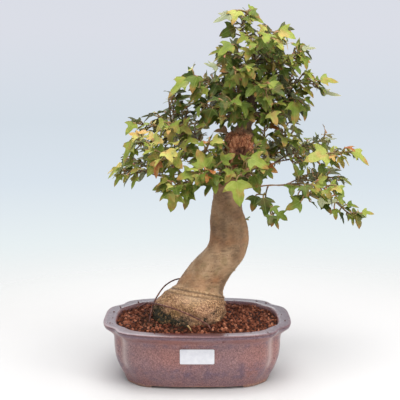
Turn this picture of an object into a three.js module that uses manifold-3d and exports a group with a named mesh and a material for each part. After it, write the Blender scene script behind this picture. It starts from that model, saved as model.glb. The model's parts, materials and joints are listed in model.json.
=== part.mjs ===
// Trident maple bonsai in its glazed four-lobed pot.
// Millimetres, +Z up. While the pieces are drawn the pot is centred on X = 0, Y = 0 with its feet at
// Z = 0 and the front of the tree faces -Y. At the end the whole is moved so that the middle of the
// footprint of its box is the origin.

import * as THREE from 'three';
import { mergeVertices } from 'three/addons/utils/BufferGeometryUtils.js';
import Module from 'manifold-3d';

const wasm = await Module();
wasm.setup();

// Driving dimensions of the pot
const RIM_HALF_LENGTH = 125.5;
const RIM_HALF_WIDTH = 93;
const POT_HEIGHT = 79;
const FLOOR_TOP = 10;
const FOOT_HEIGHT = 2.6;
const FOOT_SPAN_X = 60;
const FOOT_SPAN_Y = 34;
const DRAIN_HOLE_X = 45;
const DRAIN_HOLE_RADIUS = 10;

// The plan of the pot is a squarish oval with a narrow indent at each of its four corners
const PLAN_POWER = 3.1;
const CORNER_ANGLE = 28.5;
const CORNER_SPREAD = 6;

// Outside of the pot from the foot to the rim, then the inside down to the floor:
// height, inset from the outermost edge of the rim, depth of the corner indents
const POT_OUTSIDE = [
  [0, 28, 1.5], [7, 26, 2], [20, 19.5, 3], [37, 14.5, 4], [61, 13, 5],
  [68, 8.5, 6], [73, 2.2, 7], [76, 0.4, 7], [78.4, 0, 7], [POT_HEIGHT, 0.9, 7],
];
const POT_INSIDE = [
  [POT_HEIGHT, 15, 3.5], [77.5, 16.5, 3.5], [45, 22, 2.5], [14, 31, 1.5], [FLOOR_TOP, 36, 1.5],
];

// Soil, screens, label and tie wire
const CLEARANCE = 0.3;
const SOIL_EDGE = 75;
const SOIL_RISE = 15;
const GRANULE_RELIEF = 1.5;
const SCREEN_SIZE = 36;
const SCREEN_THICKNESS = 1.2;
const LABEL_LENGTH = 44;
const LABEL_HEIGHT = 20;
const LABEL_THICKNESS = 0.7;
const LABEL_MIDDLE = 48.5;
const WIRE_DIAMETER = 2;

// Leaves and stems
const BLADE_THICKNESS = 0.7;
const STALK_WIDTH = 1;
const STEM_TIP_RADIUS = 0.7;
const LARGE_LEAF = 31;
const SMALL_LEAF = 27;
const NODE_SPACING = 12;
const NODE_HALF_LENGTH = 1.1;

const FULL_TURN = 2 * Math.PI;
const UP = new THREE.Vector3(0, 0, 1);

const COLOURS = {
  glaze: 0x6f4f52,
  soil: 0x5f3122,
  bark: 0x8f7a5a,
  wire: 0x6b4434,
  label: 0xf2f1ee,
  screen: 0x2e3033,
  leaf: [0x4f7a2c, 0x5f8a35, 0x7a9a3c, 0x3f6a2a],
};

// The buried root base, the swollen burr, the leaning trunk and the old wound at its top, as level
// rings: left edge x and z, right edge x and z, front y, back y, and how much higher the front of
// the ring lies than its back.
const TRUNK_RINGS = [
  [-34, 44, 16, 44, -30, 20, 0],
  [-48, 58, 27, 58, -42, 26, 0],
  [-56, 71, 33, 71, -49, 30, 0],
  [-58.5, 82, 36.5, 81, -50, 31, 0],
  [-58.5, 91, 38.5, 89, -48, 31, 0],
  [-55.5, 100, 39, 95.5, -46, 30, 2],
  [-49, 108, 38, 99.5, -43, 29, 6],
  [-41, 115, 36, 102.5, -38.5, 28, 12],
  [-32.5, 120, 36, 105.5, -32.5, 27, 18],
  [-29, 123, 34.5, 109, -29, 25, 18],
  [-26.5, 128, 35.5, 116, -27, 24, 15],
  [-22, 134, 39.5, 125, -26, 24, 11],
  [-16, 142, 46, 136, -25, 24, 7],
  [-7, 154, 55, 148, -25, 24, 4],
  [4, 166, 63, 160, -25, 24, 2],
  [12, 174, 67, 171, -25, 24, 0],
  [16, 184, 68.8, 183, -24.5, 23.5, 0],
  [17.6, 198, 67.9, 198, -24, 23, 0],
  [17.6, 211, 65, 211, -22.5, 22, 0],
  [19.6, 229, 60.4, 229, -20.5, 20, 0],
  [21.5, 246, 61.5, 246, -20, 20, 0],
  [20.5, 259, 65, 259, -21, 21, 0],
  [22, 268, 70, 266, -22.5, 21.5, 0],
  [29, 277, 71.5, 276, -21, 20, 0],
  [31.5, 287, 73, 287, -21, 19.5, 0],
  [32, 297, 74, 297, -21.5, 19.5, 0],
  [32.5, 307, 74.5, 307, -21, 19, 0],
  [35, 316, 74, 316, -19.5, 18, 0],
  [39.5, 324, 73.3, 324, -16.5, 16, 0],
  [45.5, 330, 72.2, 330, -13.5, 13, 0],
  [51.5, 337, 71.5, 336, -10.5, 10.5, 0],
  [57, 347, 74.5, 345, -8.6, 8.8, 0],
  [63.7, 362, 78.3, 361, -7, 7.5, 0],
];
const TRUNK_SIDES = 14;
const COLLAR_RING = 8;
const BURR_TOP = 104;
const WOUND_HOLLOW = new THREE.Vector3(51, -22, 304);
const WOUND_HOLLOW_DEPTH = 5;
const WOUND_HOLLOW_RADIUS = 8;
const WOUND_ROLL_RADIUS = 17;

// The leader that goes on from the wound to the top of the tree
const LEADER = [[70, 0, 352], [71, 1, 362], [74, 2, 387], [74, 0, 411], [73, -2, 431]];
const LEADER_RADII = [8, 7.2, 5.6, 3.2, 2.4];

// Short dead stubs on the trunk: start, end, radius
const TRUNK_NUBS = [
  [[34, -4, 131], [41, -7, 131], 1.6],
  [[44, -4, 142], [51, -6, 144], 1.2],
  [[62, -2, 213], [69, -3, 212], 1.1],
];

// Formed tie wires that hold the tree down, by their points from soil to soil
const WIRES = {
  tie_wire_arch: [
    [-64, -27, 66], [-63.5, -25, 80], [-59.5, -13, 97], [-53, -3, 109], [-42.5, 9, 120],
    [-26, 22, 125], [-6, 36, 120], [14, 44, 106], [29, 48, 88], [35, 49, 68],
  ],
  tie_wire_diagonal: [
    [-86, 33, 66], [-82, 29, 81], [-68, 4, 96], [-63.5, -9, 99], [-55, -21, 101.5],
    [-36, -41, 102.5], [-13, -52, 97], [6, -55, 88], [16, -55.5, 80], [20, -56, 68],
  ],
};

// Half of the three-lobed blade, as shares of its length: across, along, lift above the midrib.
// Small leaves do without the first point, the rounded base.
const HALF_BLADE = [
  [0.3, 0.06, 0.04],
  [0.52, 0.33, 0.1],
  [0.2, 0.42, 0.03],
  [0.22, 0.65, 0.03],
];
const TIP_DROOP = -0.12;

// Spots on a blade that keep clear of everything else, and their radius as a share of its length
const BLADE_SPOTS = [
  [0, 0.16, 0], [0, 0.36, -0.02], [0, 0.56, -0.05], [0, 0.78, -0.09], [0, 1, -0.12],
  [0.18, 0.1, 0.03], [0.34, 0.16, 0.06], [0.5, 0.32, 0.1], [0.34, 0.34, 0.06], [0.17, 0.28, 0.03],
  [0.17, 0.48, 0.03], [0.16, 0.68, 0.01], [0.09, 0.86, -0.05],
  [-0.18, 0.1, 0.03], [-0.34, 0.16, 0.06], [-0.5, 0.32, 0.1], [-0.34, 0.34, 0.06], [-0.17, 0.28, 0.03],
  [-0.17, 0.48, 0.03], [-0.16, 0.68, 0.01], [-0.09, 0.86, -0.05],
];
const SPOT_RADIUS = 0.07;
const STALK_SPOT = 1.3;
const STEM_SPOT = 1.7;
const MOST_STALK_BEND = 0.4;
const LEAST_STALK_LEAN = 0.5;
const END_SIDE = 4;
const TRIES = 10;

// Every branch: the points of its bare wood, the radii of that wood at its start and end, the points of
// the leafy stem that goes on from it, the usual length of its leaves, and leaves placed by hand as
// the base and the tip of the blade.
const BRANCHES = [
  {
    name: 'apex_left', leaf: 23, radii: [2.4, 1.5],
    wood: [[73, -2, 431], [63, -4, 448]],
    stem: [[56, -8, 459], [59, -8, 472], [63, -4, 482]],
    placed: [
      [[41, -10, 483], [20, -14, 464]],
      [[51, -12, 484], [43, -26, 466]],
      [[68, 0, 487], [76, 10, 492]],
      [[69, -9, 477], [88, -14, 470]],
    ],
  },
  {
    name: 'apex_right', leaf: 23, radii: [2.2, 1.4],
    wood: [[73, -2, 431], [78, 2, 446]],
    stem: [[84, 8, 456], [98, 14, 459], [112, 18, 455]],
    placed: [
      [[85, -2, 466], [82, -12, 452]],
      [[111, 18, 460], [123, 14, 446]],
      [[102, 4, 447], [122, -6, 439]],
    ],
  },
  {
    name: 'upper_left', leaf: 24, radii: [2.2, 1.4],
    wood: [[74, -1, 419], [59, -10, 425]],
    stem: [[48, -20, 430], [37, -30, 432]],
    placed: [
      [[44, -30, 441], [23, -38, 427]],
    ],
  },
  {
    name: 'upper_right', leaf: 23, radii: [2.4, 1.4],
    wood: [[74, 0, 411], [90, -10, 416]],
    stem: [[107, -18, 419], [122, -26, 425], [130, -30, 435]],
    placed: [
      [[133, -31, 439], [151, -36, 433]],
      [[134, -32, 427], [141, -38, 408]],
    ],
  },
  {
    name: 'upper_back', leaf: 25, radii: [2.2, 1.3],
    wood: [[74, 0, 421], [81, 14, 428]],
    stem: [[89, 32, 434], [100, 50, 437]],
  },
  {
    name: 'upper_front', leaf: 23, radii: [2.2, 1.4],
    wood: [[73, -3, 397], [65, -16, 405]],
    stem: [[58, -34, 410], [48, -50, 407]],
  },
  {
    name: 'upper_back_left', leaf: 25, radii: [2.2, 1.3],
    wood: [[74, 1, 402], [66, 16, 410]],
    stem: [[55, 34, 415], [43, 50, 415]],
  },
  {
    name: 'middle_left', leaf: 25, radii: [2.8, 1.6],
    wood: [[72, 0, 376], [53, -8, 382]],
    stem: [[32, -16, 389], [11, -22, 397], [-4, -26, 401]],
    placed: [
      [[25, -32, 415], [5, -42, 415]],
      [[-12, -28, 397], [-43, -34, 376]],
      [[2, -39, 387], [-11, -48, 369]],
      [[11, -34, 387], [-8, -42, 369]],
    ],
  },
  {
    name: 'middle_left_back', leaf: 26, radii: [2.6, 1.5],
    wood: [[72, 2, 368], [57, 18, 373]],
    stem: [[40, 38, 378], [23, 56, 380]],
  },
  {
    name: 'middle_right', leaf: 25, radii: [2.8, 1.6],
    wood: [[74, 0, 385], [93, -6, 389]],
    stem: [[115, -12, 392], [135, -14, 393], [153, -16, 391]],
    placed: [
      [[158, -21, 396], [184, -22, 397]],
      [[160, -12, 386], [186, -18, 371]],
    ],
  },
  {
    name: 'middle_front', leaf: 23, radii: [2.4, 1.5],
    wood: [[73, -3, 381], [76, -18, 387]],
    stem: [[79, -40, 390], [85, -62, 386]],
  },
  {
    name: 'middle_back', leaf: 26, radii: [2.6, 1.5],
    wood: [[73, 3, 379], [82, 20, 385]],
    stem: [[96, 46, 388], [112, 70, 391]],
  },
  {
    name: 'lower_left', leaf: 25, radii: [3.2, 1.7],
    wood: [[67, 0, 351], [45, -10, 356]],
    stem: [[27, -20, 361], [9, -30, 363]],
    placed: [
      [[19, -40, 361], [9, -50, 339]],
    ],
  },
  {
    name: 'lower_right', leaf: 24, radii: [3.6, 1.8],
    wood: [[64, 0, 342], [86, -8, 348], [103, -14, 358]],
    stem: [[113, -18, 370], [124, -22, 375], [133, -24, 369]],
    placed: [
      [[124, -32, 369], [126, -41, 337]],
      [[138, -17, 364], [142, -20, 342]],
    ],
  },
  {
    name: 'lower_right_back', leaf: 26, radii: [3.0, 1.6],
    wood: [[68, 3, 350], [87, 22, 354]],
    stem: [[107, 42, 359], [128, 62, 361]],
  },
  {
    name: 'lower_front', leaf: 22, radii: [2.6, 1.4],
    wood: [[66, -5, 348], [59, -24, 359]],
    stem: [[49, -44, 367], [37, -62, 369]],
    placed: [
      [[38, -62, 368], [27, -74, 350]],
    ],
  },
  {
    name: 'lower_back', leaf: 27, radii: [3.0, 1.6],
    wood: [[68, 4, 350], [64, 26, 357]],
    stem: [[57, 52, 361], [49, 78, 363]],
  },
  {
    name: 'shoulder_left', leaf: 25, radii: [4.6, 1.8],
    wood: [[42, 8, 302], [14, 16, 312], [-10, 20, 320], [-28, 20, 325]],
    stem: [[-46, 20, 330], [-63, 20, 336], [-77, 20, 338]],
    placed: [
      [[-63, 12, 339], [-81, 6, 334]],
    ],
  },
  {
    name: 'shoulder_left_front', leaf: 25, radii: [2.2, 1.5],
    wood: [[-7, 20, 319], [-17, 4, 326]],
    stem: [[-26, -14, 334], [-35, -32, 340]],
    placed: [
      [[-17, -30, 341], [-9, -36, 352]],
    ],
  },
  {
    name: 'shoulder_left_mid', leaf: 26, radii: [1.8, 1.5],
    wood: [[-20, 19, 323], [-44, 6, 319]],
    stem: [[-59, -8, 317], [-73, -20, 316]],
    placed: [
      [[-81, -26, 317], [-102, -32, 288]],
      [[-61, -16, 312], [-73, -26, 292]],
    ],
  },
  {
    name: 'shoulder_left_back', leaf: 27, radii: [2.6, 1.6],
    wood: [[17, 15, 311], [4, 36, 314]],
    stem: [[-10, 58, 318], [-27, 80, 321]],
  },
  {
    name: 'low_left', leaf: 24, radii: [4.4, 1.6],
    wood: [[25, -4, 255], [1, -14, 273], [-22, -18, 275], [-47, -22, 273], [-66, -24, 279]],
    stem: [[-79, -26, 281], [-92, -28, 281], [-99, -30, 284]],
    placed: [
      [[-101, -30, 284], [-118, -34, 272]],
      [[-77, -35, 274], [-87, -42, 258]],
    ],
  },
  {
    name: 'low_left_upper', leaf: 27, radii: [2.4, 1.5],
    wood: [[-20, -17, 275], [-27, -34, 287]],
    stem: [[-34, -50, 297], [-43, -68, 307]],
  },
  {
    name: 'low_left_front', leaf: 27, radii: [2.6, 1.5],
    wood: [[1, -14, 273], [-9, -34, 269]],
    stem: [[-20, -54, 267], [-31, -72, 266]],
    placed: [
      [[-9, -53, 257], [-19, -61, 233]],
    ],
  },
  {
    name: 'low_left_back', leaf: 25, radii: [2.2, 1.5],
    wood: [[-46, -22, 273], [-60, -4, 279]],
    stem: [[-74, 16, 285], [-89, 34, 289]],
  },
  {
    name: 'low_left_inner', leaf: 25, radii: [2.4, 1.5],
    wood: [[-20, -18, 275], [-31, 0, 282]],
    stem: [[-42, 20, 290], [-56, 38, 296]],
  },
  {
    name: 'right_upper', leaf: 24, radii: [4.8, 1.8],
    wood: [[57, 2, 260], [72, 6, 266], [88, 12, 277], [106, 18, 287], [124, 24, 298]],
    stem: [[140, 28, 306], [157, 31, 312], [172, 33, 317]],
    placed: [
      [[157, 24, 314], [165, 20, 325]],
      [[173, 30, 319], [190, 26, 315]],
    ],
  },
  {
    name: 'right_long', leaf: 23, radii: [2.4, 1.5],
    wood: [[109, 18, 288], [121, 4, 292]],
    stem: [[137, -10, 296], [157, -20, 299], [179, -28, 304], [196, -32, 306]],
    placed: [
      [[168, -26, 303], [134, -40, 296]],
      [[199, -32, 306], [225, -38, 290]],
    ],
  },
  {
    name: 'right_back', leaf: 26, radii: [1.9, 1.5],
    wood: [[115, 21, 293], [134, 42, 297]],
    stem: [[149, 64, 300], [166, 86, 299]],
  },
  {
    name: 'right_inner', leaf: 26, radii: [2.4, 1.5],
    wood: [[90, 13, 278], [97, 26, 289]],
    stem: [[108, 42, 302], [122, 60, 310]],
  },
  {
    name: 'right_low', leaf: 22, radii: [4.4, 1.7],
    wood: [[57, -4, 253], [75, -10, 257], [95, -16, 260], [117, -20, 261], [132, -26, 263]],
    stem: [[138, -30, 254], [156, -32, 247], [174, -34, 244], [195, -36, 227], [205, -36, 224]],
    placed: [
      [[213, -36, 227], [230, -40, 228]],
      [[199, -36, 223], [203, -42, 210]],
      [[156, -36, 245], [183, -44, 239]],
    ],
  },
  {
    name: 'right_front', leaf: 26, radii: [2.4, 1.5],
    wood: [[93, -15, 259], [90, -32, 257]],
    stem: [[87, -52, 250], [90, -66, 241], [95, -72, 232]],
    placed: [
      [[95, -72, 229], [93, -76, 214]],
      [[83, -66, 251], [88, -77, 228]],
      [[74, -56, 252], [69, -64, 231]],
    ],
  },
  {
    name: 'right_low_front', leaf: 24, radii: [2.4, 1.5],
    wood: [[113, -19, 261], [122, -36, 265]],
    stem: [[134, -54, 267], [151, -68, 265], [169, -78, 263]],
    placed: [
      [[174, -78, 267], [183, -84, 256]],
      [[130, -60, 245], [109, -66, 235]],
    ],
  },
  {
    name: 'right_low_back', leaf: 25, radii: [2.4, 1.5],
    wood: [[115, -19, 261], [131, 0, 265]],
    stem: [[151, 20, 268], [174, 40, 267]],
  },
  {
    name: 'front_left', leaf: 25, radii: [3.0, 1.5],
    wood: [[43, -12, 267], [31, -40, 273]],
    stem: [[18, -56, 278], [4, -74, 282]],
    placed: [
      [[31, -58, 296], [49, -60, 308]],
    ],
  },
  {
    name: 'front_right', leaf: 25, radii: [3.0, 1.5],
    wood: [[51, -12, 264], [59, -38, 274]],
    stem: [[68, -54, 284], [81, -70, 291]],
    placed: [
      [[49, -68, 273], [54, -80, 239]],
      [[66, -72, 302], [90, -84, 290]],
    ],
  },
  {
    name: 'back_left', leaf: 27, radii: [3.0, 1.6],
    wood: [[49, 12, 275], [42, 38, 281]],
    stem: [[32, 62, 287], [18, 88, 289]],
  },
  {
    name: 'back_right', leaf: 27, radii: [3.0, 1.6],
    wood: [[60, 12, 277], [74, 38, 287]],
    stem: [[90, 64, 293], [108, 92, 294]],
  },
];

function point(list) {
  return new THREE.Vector3(...list);
}

// Small repeatable generator of numbers from 0 to 1
function seededRandom(seed) {
  let state = seed >>> 0;
  return () => {
    state = (Math.imul(state, 1664525) + 1013904223) >>> 0;
    return state / 4294967296;
  };
}

function closedGeometry(points, triangles) {
  const geometry = new THREE.BufferGeometry();
  const places = points.flatMap((place) => [place.x, place.y, place.z]);
  geometry.setAttribute('position', new THREE.Float32BufferAttribute(places, 3));
  geometry.setIndex(triangles.flat());
  return geometry;
}

function toSolid(geometry) {
  const bare = geometry.clone();
  bare.deleteAttribute('normal');
  bare.deleteAttribute('uv');
  const merged = mergeVertices(bare, 1e-4);
  return new wasm.Manifold(new wasm.Mesh({
    numProp: 3,
    vertProperties: new Float32Array(merged.attributes.position.array),
    triVerts: new Uint32Array(merged.index.array),
  }));
}

function toGeometry(solid) {
  const mesh = solid.getMesh();
  const geometry = new THREE.BufferGeometry();
  geometry.setAttribute('position', new THREE.BufferAttribute(mesh.vertProperties, 3));
  geometry.setIndex(new THREE.BufferAttribute(mesh.triVerts, 1));
  return geometry;
}

function joinSolids(solids) {
  return solids.reduce((whole, part) => whole.add(part));
}

// Skin over a stack of rings with equal point counts, closed by a fan at each end
function loft(rings) {
  const sides = rings[0].length;
  const points = rings.flat();
  const triangles = [];
  for (let ring = 0; ring < rings.length - 1; ring += 1) {
    for (let side = 0; side < sides; side += 1) {
      const a = ring * sides + side;
      const b = ring * sides + ((side + 1) % sides);
      triangles.push([a, b, b + sides], [a, b + sides, a + sides]);
    }
  }
  const lastRing = (rings.length - 1) * sides;
  for (let side = 1; side < sides - 1; side += 1) {
    triangles.push([0, side + 1, side]);
    triangles.push([lastRing, lastRing + side, lastRing + side + 1]);
  }
  return closedGeometry(points, triangles);
}

// Tapered round stem along a path, its rings carried on from one to the next without twist
function sweep(path, radii, sides) {
  const rings = [];
  let across = null;
  path.forEach((place, index) => {
    const before = path[Math.max(index - 1, 0)];
    const after = path[Math.min(index + 1, path.length - 1)];
    const along = after.clone().sub(before).normalize();
    if (across === null) {
      across = sideways(along);
    }
    across = across.clone().addScaledVector(along, -across.dot(along)).normalize();
    const over = along.clone().cross(across);
    const ring = [];
    for (let side = 0; side < sides; side += 1) {
      const turn = (FULL_TURN * (side + 0.5)) / sides;
      ring.push(place.clone()
        .addScaledVector(across, radii[index] * Math.cos(turn))
        .addScaledVector(over, radii[index] * Math.sin(turn)));
    }
    rings.push(ring);
  });
  return loft(rings);
}

// Level direction square to a stem, or square to Y where the stem stands upright
function sideways(along) {
  const reference = Math.abs(along.z) < 0.9 ? UP : new THREE.Vector3(0, 1, 0);
  return reference.clone().cross(along).normalize();
}

function blend(from, to, share) {
  return from + (to - from) * share;
}

// Plan angles in degrees, close together at the four indented corners
function planAngles() {
  const corner = [-10, -5, 0, 5, 10].map((step) => CORNER_ANGLE + step);
  const quarter = [0, 10, ...corner, 48, 60, 74];
  const half = [...quarter, 90, ...quarter.slice(1).reverse().map((angle) => 180 - angle)];
  return [...half, ...half.map((angle) => angle + 180)];
}

function planRadius(angle, inset, indent) {
  const turn = THREE.MathUtils.degToRad(angle);
  const alongX = Math.abs(Math.cos(turn)) / (RIM_HALF_LENGTH - inset);
  const alongY = Math.abs(Math.sin(turn)) / (RIM_HALF_WIDTH - inset);
  const oval = (alongX ** PLAN_POWER + alongY ** PLAN_POWER) ** (-1 / PLAN_POWER);
  const folded = Math.abs(angle % 180 > 90 ? 180 - (angle % 180) : angle % 180);
  const fromCorner = (folded - CORNER_ANGLE) / CORNER_SPREAD;
  return oval - indent * Math.exp(-fromCorner * fromCorner);
}

function planRing(height, inset, indent) {
  return planAngles().map((angle) => {
    const turn = THREE.MathUtils.degToRad(angle);
    const radius = planRadius(angle, inset, indent);
    return new THREE.Vector3(radius * Math.cos(turn), radius * Math.sin(turn), height);
  });
}

function boxSolid(length, width, height, middle) {
  const geometry = new THREE.BoxGeometry(length, width, height);
  geometry.translate(middle.x, middle.y, middle.z);
  return toSolid(geometry);
}

// Glazed pot: four bulging walls, flat rim, four corner feet and two drainage holes
function makePot() {
  const rings = [...POT_OUTSIDE, ...POT_INSIDE].map((row) => planRing(...row));
  let pot = toSolid(loft(rings));
  const reach = 2 * RIM_HALF_LENGTH;
  const archMiddle = new THREE.Vector3(0, 0, 0);
  pot = pot.subtract(boxSolid(2 * FOOT_SPAN_X, reach, 2 * FOOT_HEIGHT, archMiddle));
  pot = pot.subtract(boxSolid(reach, 2 * FOOT_SPAN_Y, 2 * FOOT_HEIGHT, archMiddle));
  for (const x of [-DRAIN_HOLE_X, DRAIN_HOLE_X]) {
    const hole = new THREE.CylinderGeometry(DRAIN_HOLE_RADIUS, DRAIN_HOLE_RADIUS, 3 * FLOOR_TOP, 12);
    hole.rotateX(Math.PI / 2);
    hole.translate(x, 0, FLOOR_TOP / 2);
    pot = pot.subtract(toSolid(hole));
  }
  return toGeometry(pot);
}

// Mesh screen over a drainage hole: a square plate with a two by two grid of openings
function makeScreen(x) {
  const middle = new THREE.Vector3(x, 0, FLOOR_TOP + CLEARANCE + SCREEN_THICKNESS / 2);
  let screen = boxSolid(SCREEN_SIZE, SCREEN_SIZE, SCREEN_THICKNESS, middle);
  const pitch = SCREEN_SIZE / 4;
  const opening = pitch * 1.4;
  for (const column of [-1, 1]) {
    for (const row of [-1, 1]) {
      const place = middle.clone().add(new THREE.Vector3(column * pitch, row * pitch, 0));
      screen = screen.subtract(boxSolid(opening, opening, 2 * SCREEN_THICKNESS, place));
    }
  }
  return toGeometry(screen);
}

// Ring of the trunk, pushed out by a margin where the soil needs room for it
function trunkRing(row, index, margin) {
  const [leftX, leftZ, rightX, rightZ, frontY, backY, frontLift] = row;
  const middle = new THREE.Vector3((leftX + rightX) / 2, (frontY + backY) / 2, (leftZ + rightZ) / 2);
  const halfX = (rightX - leftX) / 2;
  const halfY = (backY - frontY) / 2;
  const ring = [];
  for (let side = 0; side < TRUNK_SIDES; side += 1) {
    const turn = (FULL_TURN * side) / TRUNK_SIDES;
    const swell = 1 + trunkRelief(turn, index, middle.z);
    const x = middle.x + (halfX * swell + margin) * Math.cos(turn);
    const y = middle.y + (halfY * swell + margin) * Math.sin(turn);
    const z = middle.z + ((rightZ - leftZ) / 2) * Math.cos(turn) - (frontLift / 2) * Math.sin(turn);
    ring.push(woundRelief(new THREE.Vector3(x, y, z), middle));
  }
  return ring;
}

// Knobbly surface on the burr, a raised collar where the graft was made, faint ribs above it
function trunkRelief(turn, index, height) {
  if (index === COLLAR_RING) {
    return 0.04;
  }
  if (height < BURR_TOP) {
    return 0.022 * Math.sin(3 * turn + index) + 0.018 * Math.sin(7 * turn + 2.3 * index);
  }
  return 0.012 * Math.sin(2 * turn + 0.4 * index) + 0.012 * Math.sin(5 * turn + 0.9 * index);
}

// The hollow of the old wound and the rolled edge of bark round it
function woundRelief(place, middle) {
  const distance = place.distanceTo(WOUND_HOLLOW);
  const hollow = WOUND_HOLLOW_DEPTH * Math.exp(-((distance / WOUND_HOLLOW_RADIUS) ** 2));
  const roll = 1.6 * Math.exp(-(((distance - WOUND_ROLL_RADIUS) / 5) ** 2));
  const inward = middle.clone().sub(place).setZ(0).normalize();
  return place.addScaledVector(inward, hollow - roll);
}

function trunkSolid(margin) {
  return toSolid(loft(TRUNK_RINGS.map((row, index) => trunkRing(row, index, margin))));
}

// Radius at every point of a limb, from its first radius to its last
function taper(count, [first, last]) {
  return Array.from({ length: count }, (_, index) => blend(first, last, index / (count - 1)));
}

// Trunk, leader and limbs grew as one piece of wood
function makeTrunk() {
  const parts = [trunkSolid(0), toSolid(sweep(LEADER.map(point), LEADER_RADII, 8))];
  for (const branch of BRANCHES) {
    const path = branch.wood.map(point);
    const sides = path.length > 2 ? 6 : 4;
    parts.push(toSolid(sweep(path, taper(path.length, branch.radii), sides)));
  }
  for (const [start, end, radius] of TRUNK_NUBS) {
    parts.push(toSolid(sweep([point(start), point(end)], [radius, radius * 0.7], 5)));
  }
  return toGeometry(joinSolids(parts));
}

// Red-brown granules: a mound with a rough top, cut clear of the trunk, the wire and the screens
function makeSoil(wireSolids) {
  const random = seededRandom(11);
  const sideGap = CLEARANCE + 0.15;
  const rings = [FLOOR_TOP + CLEARANCE, 14.2, 45, SOIL_EDGE].map((height) => {
    const upper = POT_INSIDE.findIndex((row, index) => height >= POT_INSIDE[index + 1][0]);
    const [topHeight, topInset, topIndent] = POT_INSIDE[upper];
    const [lowHeight, lowInset, lowIndent] = POT_INSIDE[upper + 1];
    const share = (height - lowHeight) / (topHeight - lowHeight);
    return planRing(height, blend(lowInset, topInset, share) + sideGap, blend(lowIndent, topIndent, share));
  });
  const edge = rings[rings.length - 1];
  for (const share of [0.94, 0.86, 0.77, 0.68, 0.58, 0.46, 0.3]) {
    rings.push(edge.map((place) => {
      const rough = () => GRANULE_RELIEF * (2 * random() - 1);
      const top = SOIL_EDGE + SOIL_RISE * (1 - share) + rough();
      return new THREE.Vector3(place.x * share + rough(), place.y * share + rough(), top);
    }));
  }
  let soil = toSolid(loft(rings)).subtract(trunkSolid(CLEARANCE + 0.15));
  for (const wire of wireSolids) {
    soil = soil.subtract(wire);
  }
  for (const x of [-DRAIN_HOLE_X, DRAIN_HOLE_X]) {
    const size = SCREEN_SIZE + 2 * CLEARANCE;
    const height = 2 * (SCREEN_THICKNESS + 2 * CLEARANCE);
    soil = soil.subtract(boxSolid(size, size, height, new THREE.Vector3(x, 0, FLOOR_TOP)));
  }
  return toGeometry(soil);
}

function wireGeometry(route, diameter) {
  const circle = new THREE.Shape();
  circle.absarc(0, 0, diameter / 2, 0, FULL_TURN);
  const path = new THREE.CatmullRomCurve3(route.map(point), false, 'centripetal');
  return new THREE.ExtrudeGeometry(circle, {
    steps: route.length + 6,
    curveSegments: 3,
    bevelEnabled: false,
    extrudePath: path,
  });
}

// Blank paper label stuck flat on the front wall
function makeLabel() {
  const corner = 1.5;
  const halfLength = LABEL_LENGTH / 2;
  const halfHeight = LABEL_HEIGHT / 2;
  const shape = new THREE.Shape();
  shape.moveTo(-halfLength + corner, -halfHeight);
  shape.lineTo(halfLength - corner, -halfHeight);
  shape.quadraticCurveTo(halfLength, -halfHeight, halfLength, -halfHeight + corner);
  shape.lineTo(halfLength, halfHeight - corner);
  shape.quadraticCurveTo(halfLength, halfHeight, halfLength - corner, halfHeight);
  shape.lineTo(-halfLength + corner, halfHeight);
  shape.quadraticCurveTo(-halfLength, halfHeight, -halfLength, halfHeight - corner);
  shape.lineTo(-halfLength, -halfHeight + corner);
  shape.quadraticCurveTo(-halfLength, -halfHeight, -halfLength + corner, -halfHeight);
  const geometry = new THREE.ExtrudeGeometry(shape, {
    depth: LABEL_THICKNESS,
    curveSegments: 2,
    bevelEnabled: false,
  });
  const [lowHeight, lowInset] = POT_OUTSIDE[3];
  const [highHeight, highInset] = POT_OUTSIDE[4];
  const slope = Math.atan2(lowInset - highInset, highHeight - lowHeight);
  const inset = blend(lowInset, highInset, (LABEL_MIDDLE - lowHeight) / (highHeight - lowHeight));
  geometry.rotateX(Math.PI / 2 + slope);
  geometry.translate(0, -(RIM_HALF_WIDTH - inset) - CLEARANCE, LABEL_MIDDLE);
  return geometry;
}

// Point on a smooth curve through the stem's points, for a share of its length in steps
function stemPoint(points, share) {
  const steps = points.length - 1;
  const step = Math.min(Math.floor(share * steps), steps - 1);
  const t = share * steps - step;
  const p1 = points[step];
  const p2 = points[step + 1];
  const p0 = points[Math.max(step - 1, 0)];
  const p3 = points[Math.min(step + 2, steps)];
  const bend = (axis) => {
    const start = (p2[axis] - p0[axis]) / 2;
    const end = (p3[axis] - p1[axis]) / 2;
    const gap = p2[axis] - p1[axis];
    return p1[axis] + t * (start + t * (3 * gap - 2 * start - end + t * (start + end - 2 * gap)));
  };
  return new THREE.Vector3(bend('x'), bend('y'), bend('z'));
}

function twigDirection(branch) {
  const [before, end] = branch.wood.slice(-2).map(point);
  return end.sub(before).normalize();
}

// The stem of a leafy spray, from its bare twig on: evenly spaced leaf nodes with the direction of
// growth at each and a direction across it that is carried on without twist
function stemNodes(branch) {
  const points = [point(branch.wood[branch.wood.length - 1]), ...branch.stem.map(point)];
  let length = 0;
  for (let index = 1; index < points.length; index += 1) {
    length += points[index].distanceTo(points[index - 1]);
  }
  const count = Math.max(Math.round(length / NODE_SPACING), 2);
  const nodes = [];
  let across = null;
  for (let index = 0; index <= count; index += 1) {
    const share = index / count;
    const ahead = stemPoint(points, Math.min(share + 0.02, 1));
    const behind = stemPoint(points, Math.max(share - 0.02, 0));
    const along = index === 0 ? twigDirection(branch) : ahead.sub(behind).normalize();
    across = (across ?? sideways(along)).clone();
    across.addScaledVector(along, -across.dot(along)).normalize();
    nodes.push({ place: stemPoint(points, share), along, across, used: new Set() });
  }
  return nodes;
}

// Places that are taken already: x, y, z, radius and the piece they belong to
class Taken {
  constructor() {
    this.spots = [];
  }

  add(place, radius, owner) {
    this.spots.push({ place, radius, owner });
  }

  isFree(place, radius, spared) {
    return this.spots.every((spot) => spot.owner === spared
      || spot.place.distanceTo(place) >= spot.radius + radius);
  }
}

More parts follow.
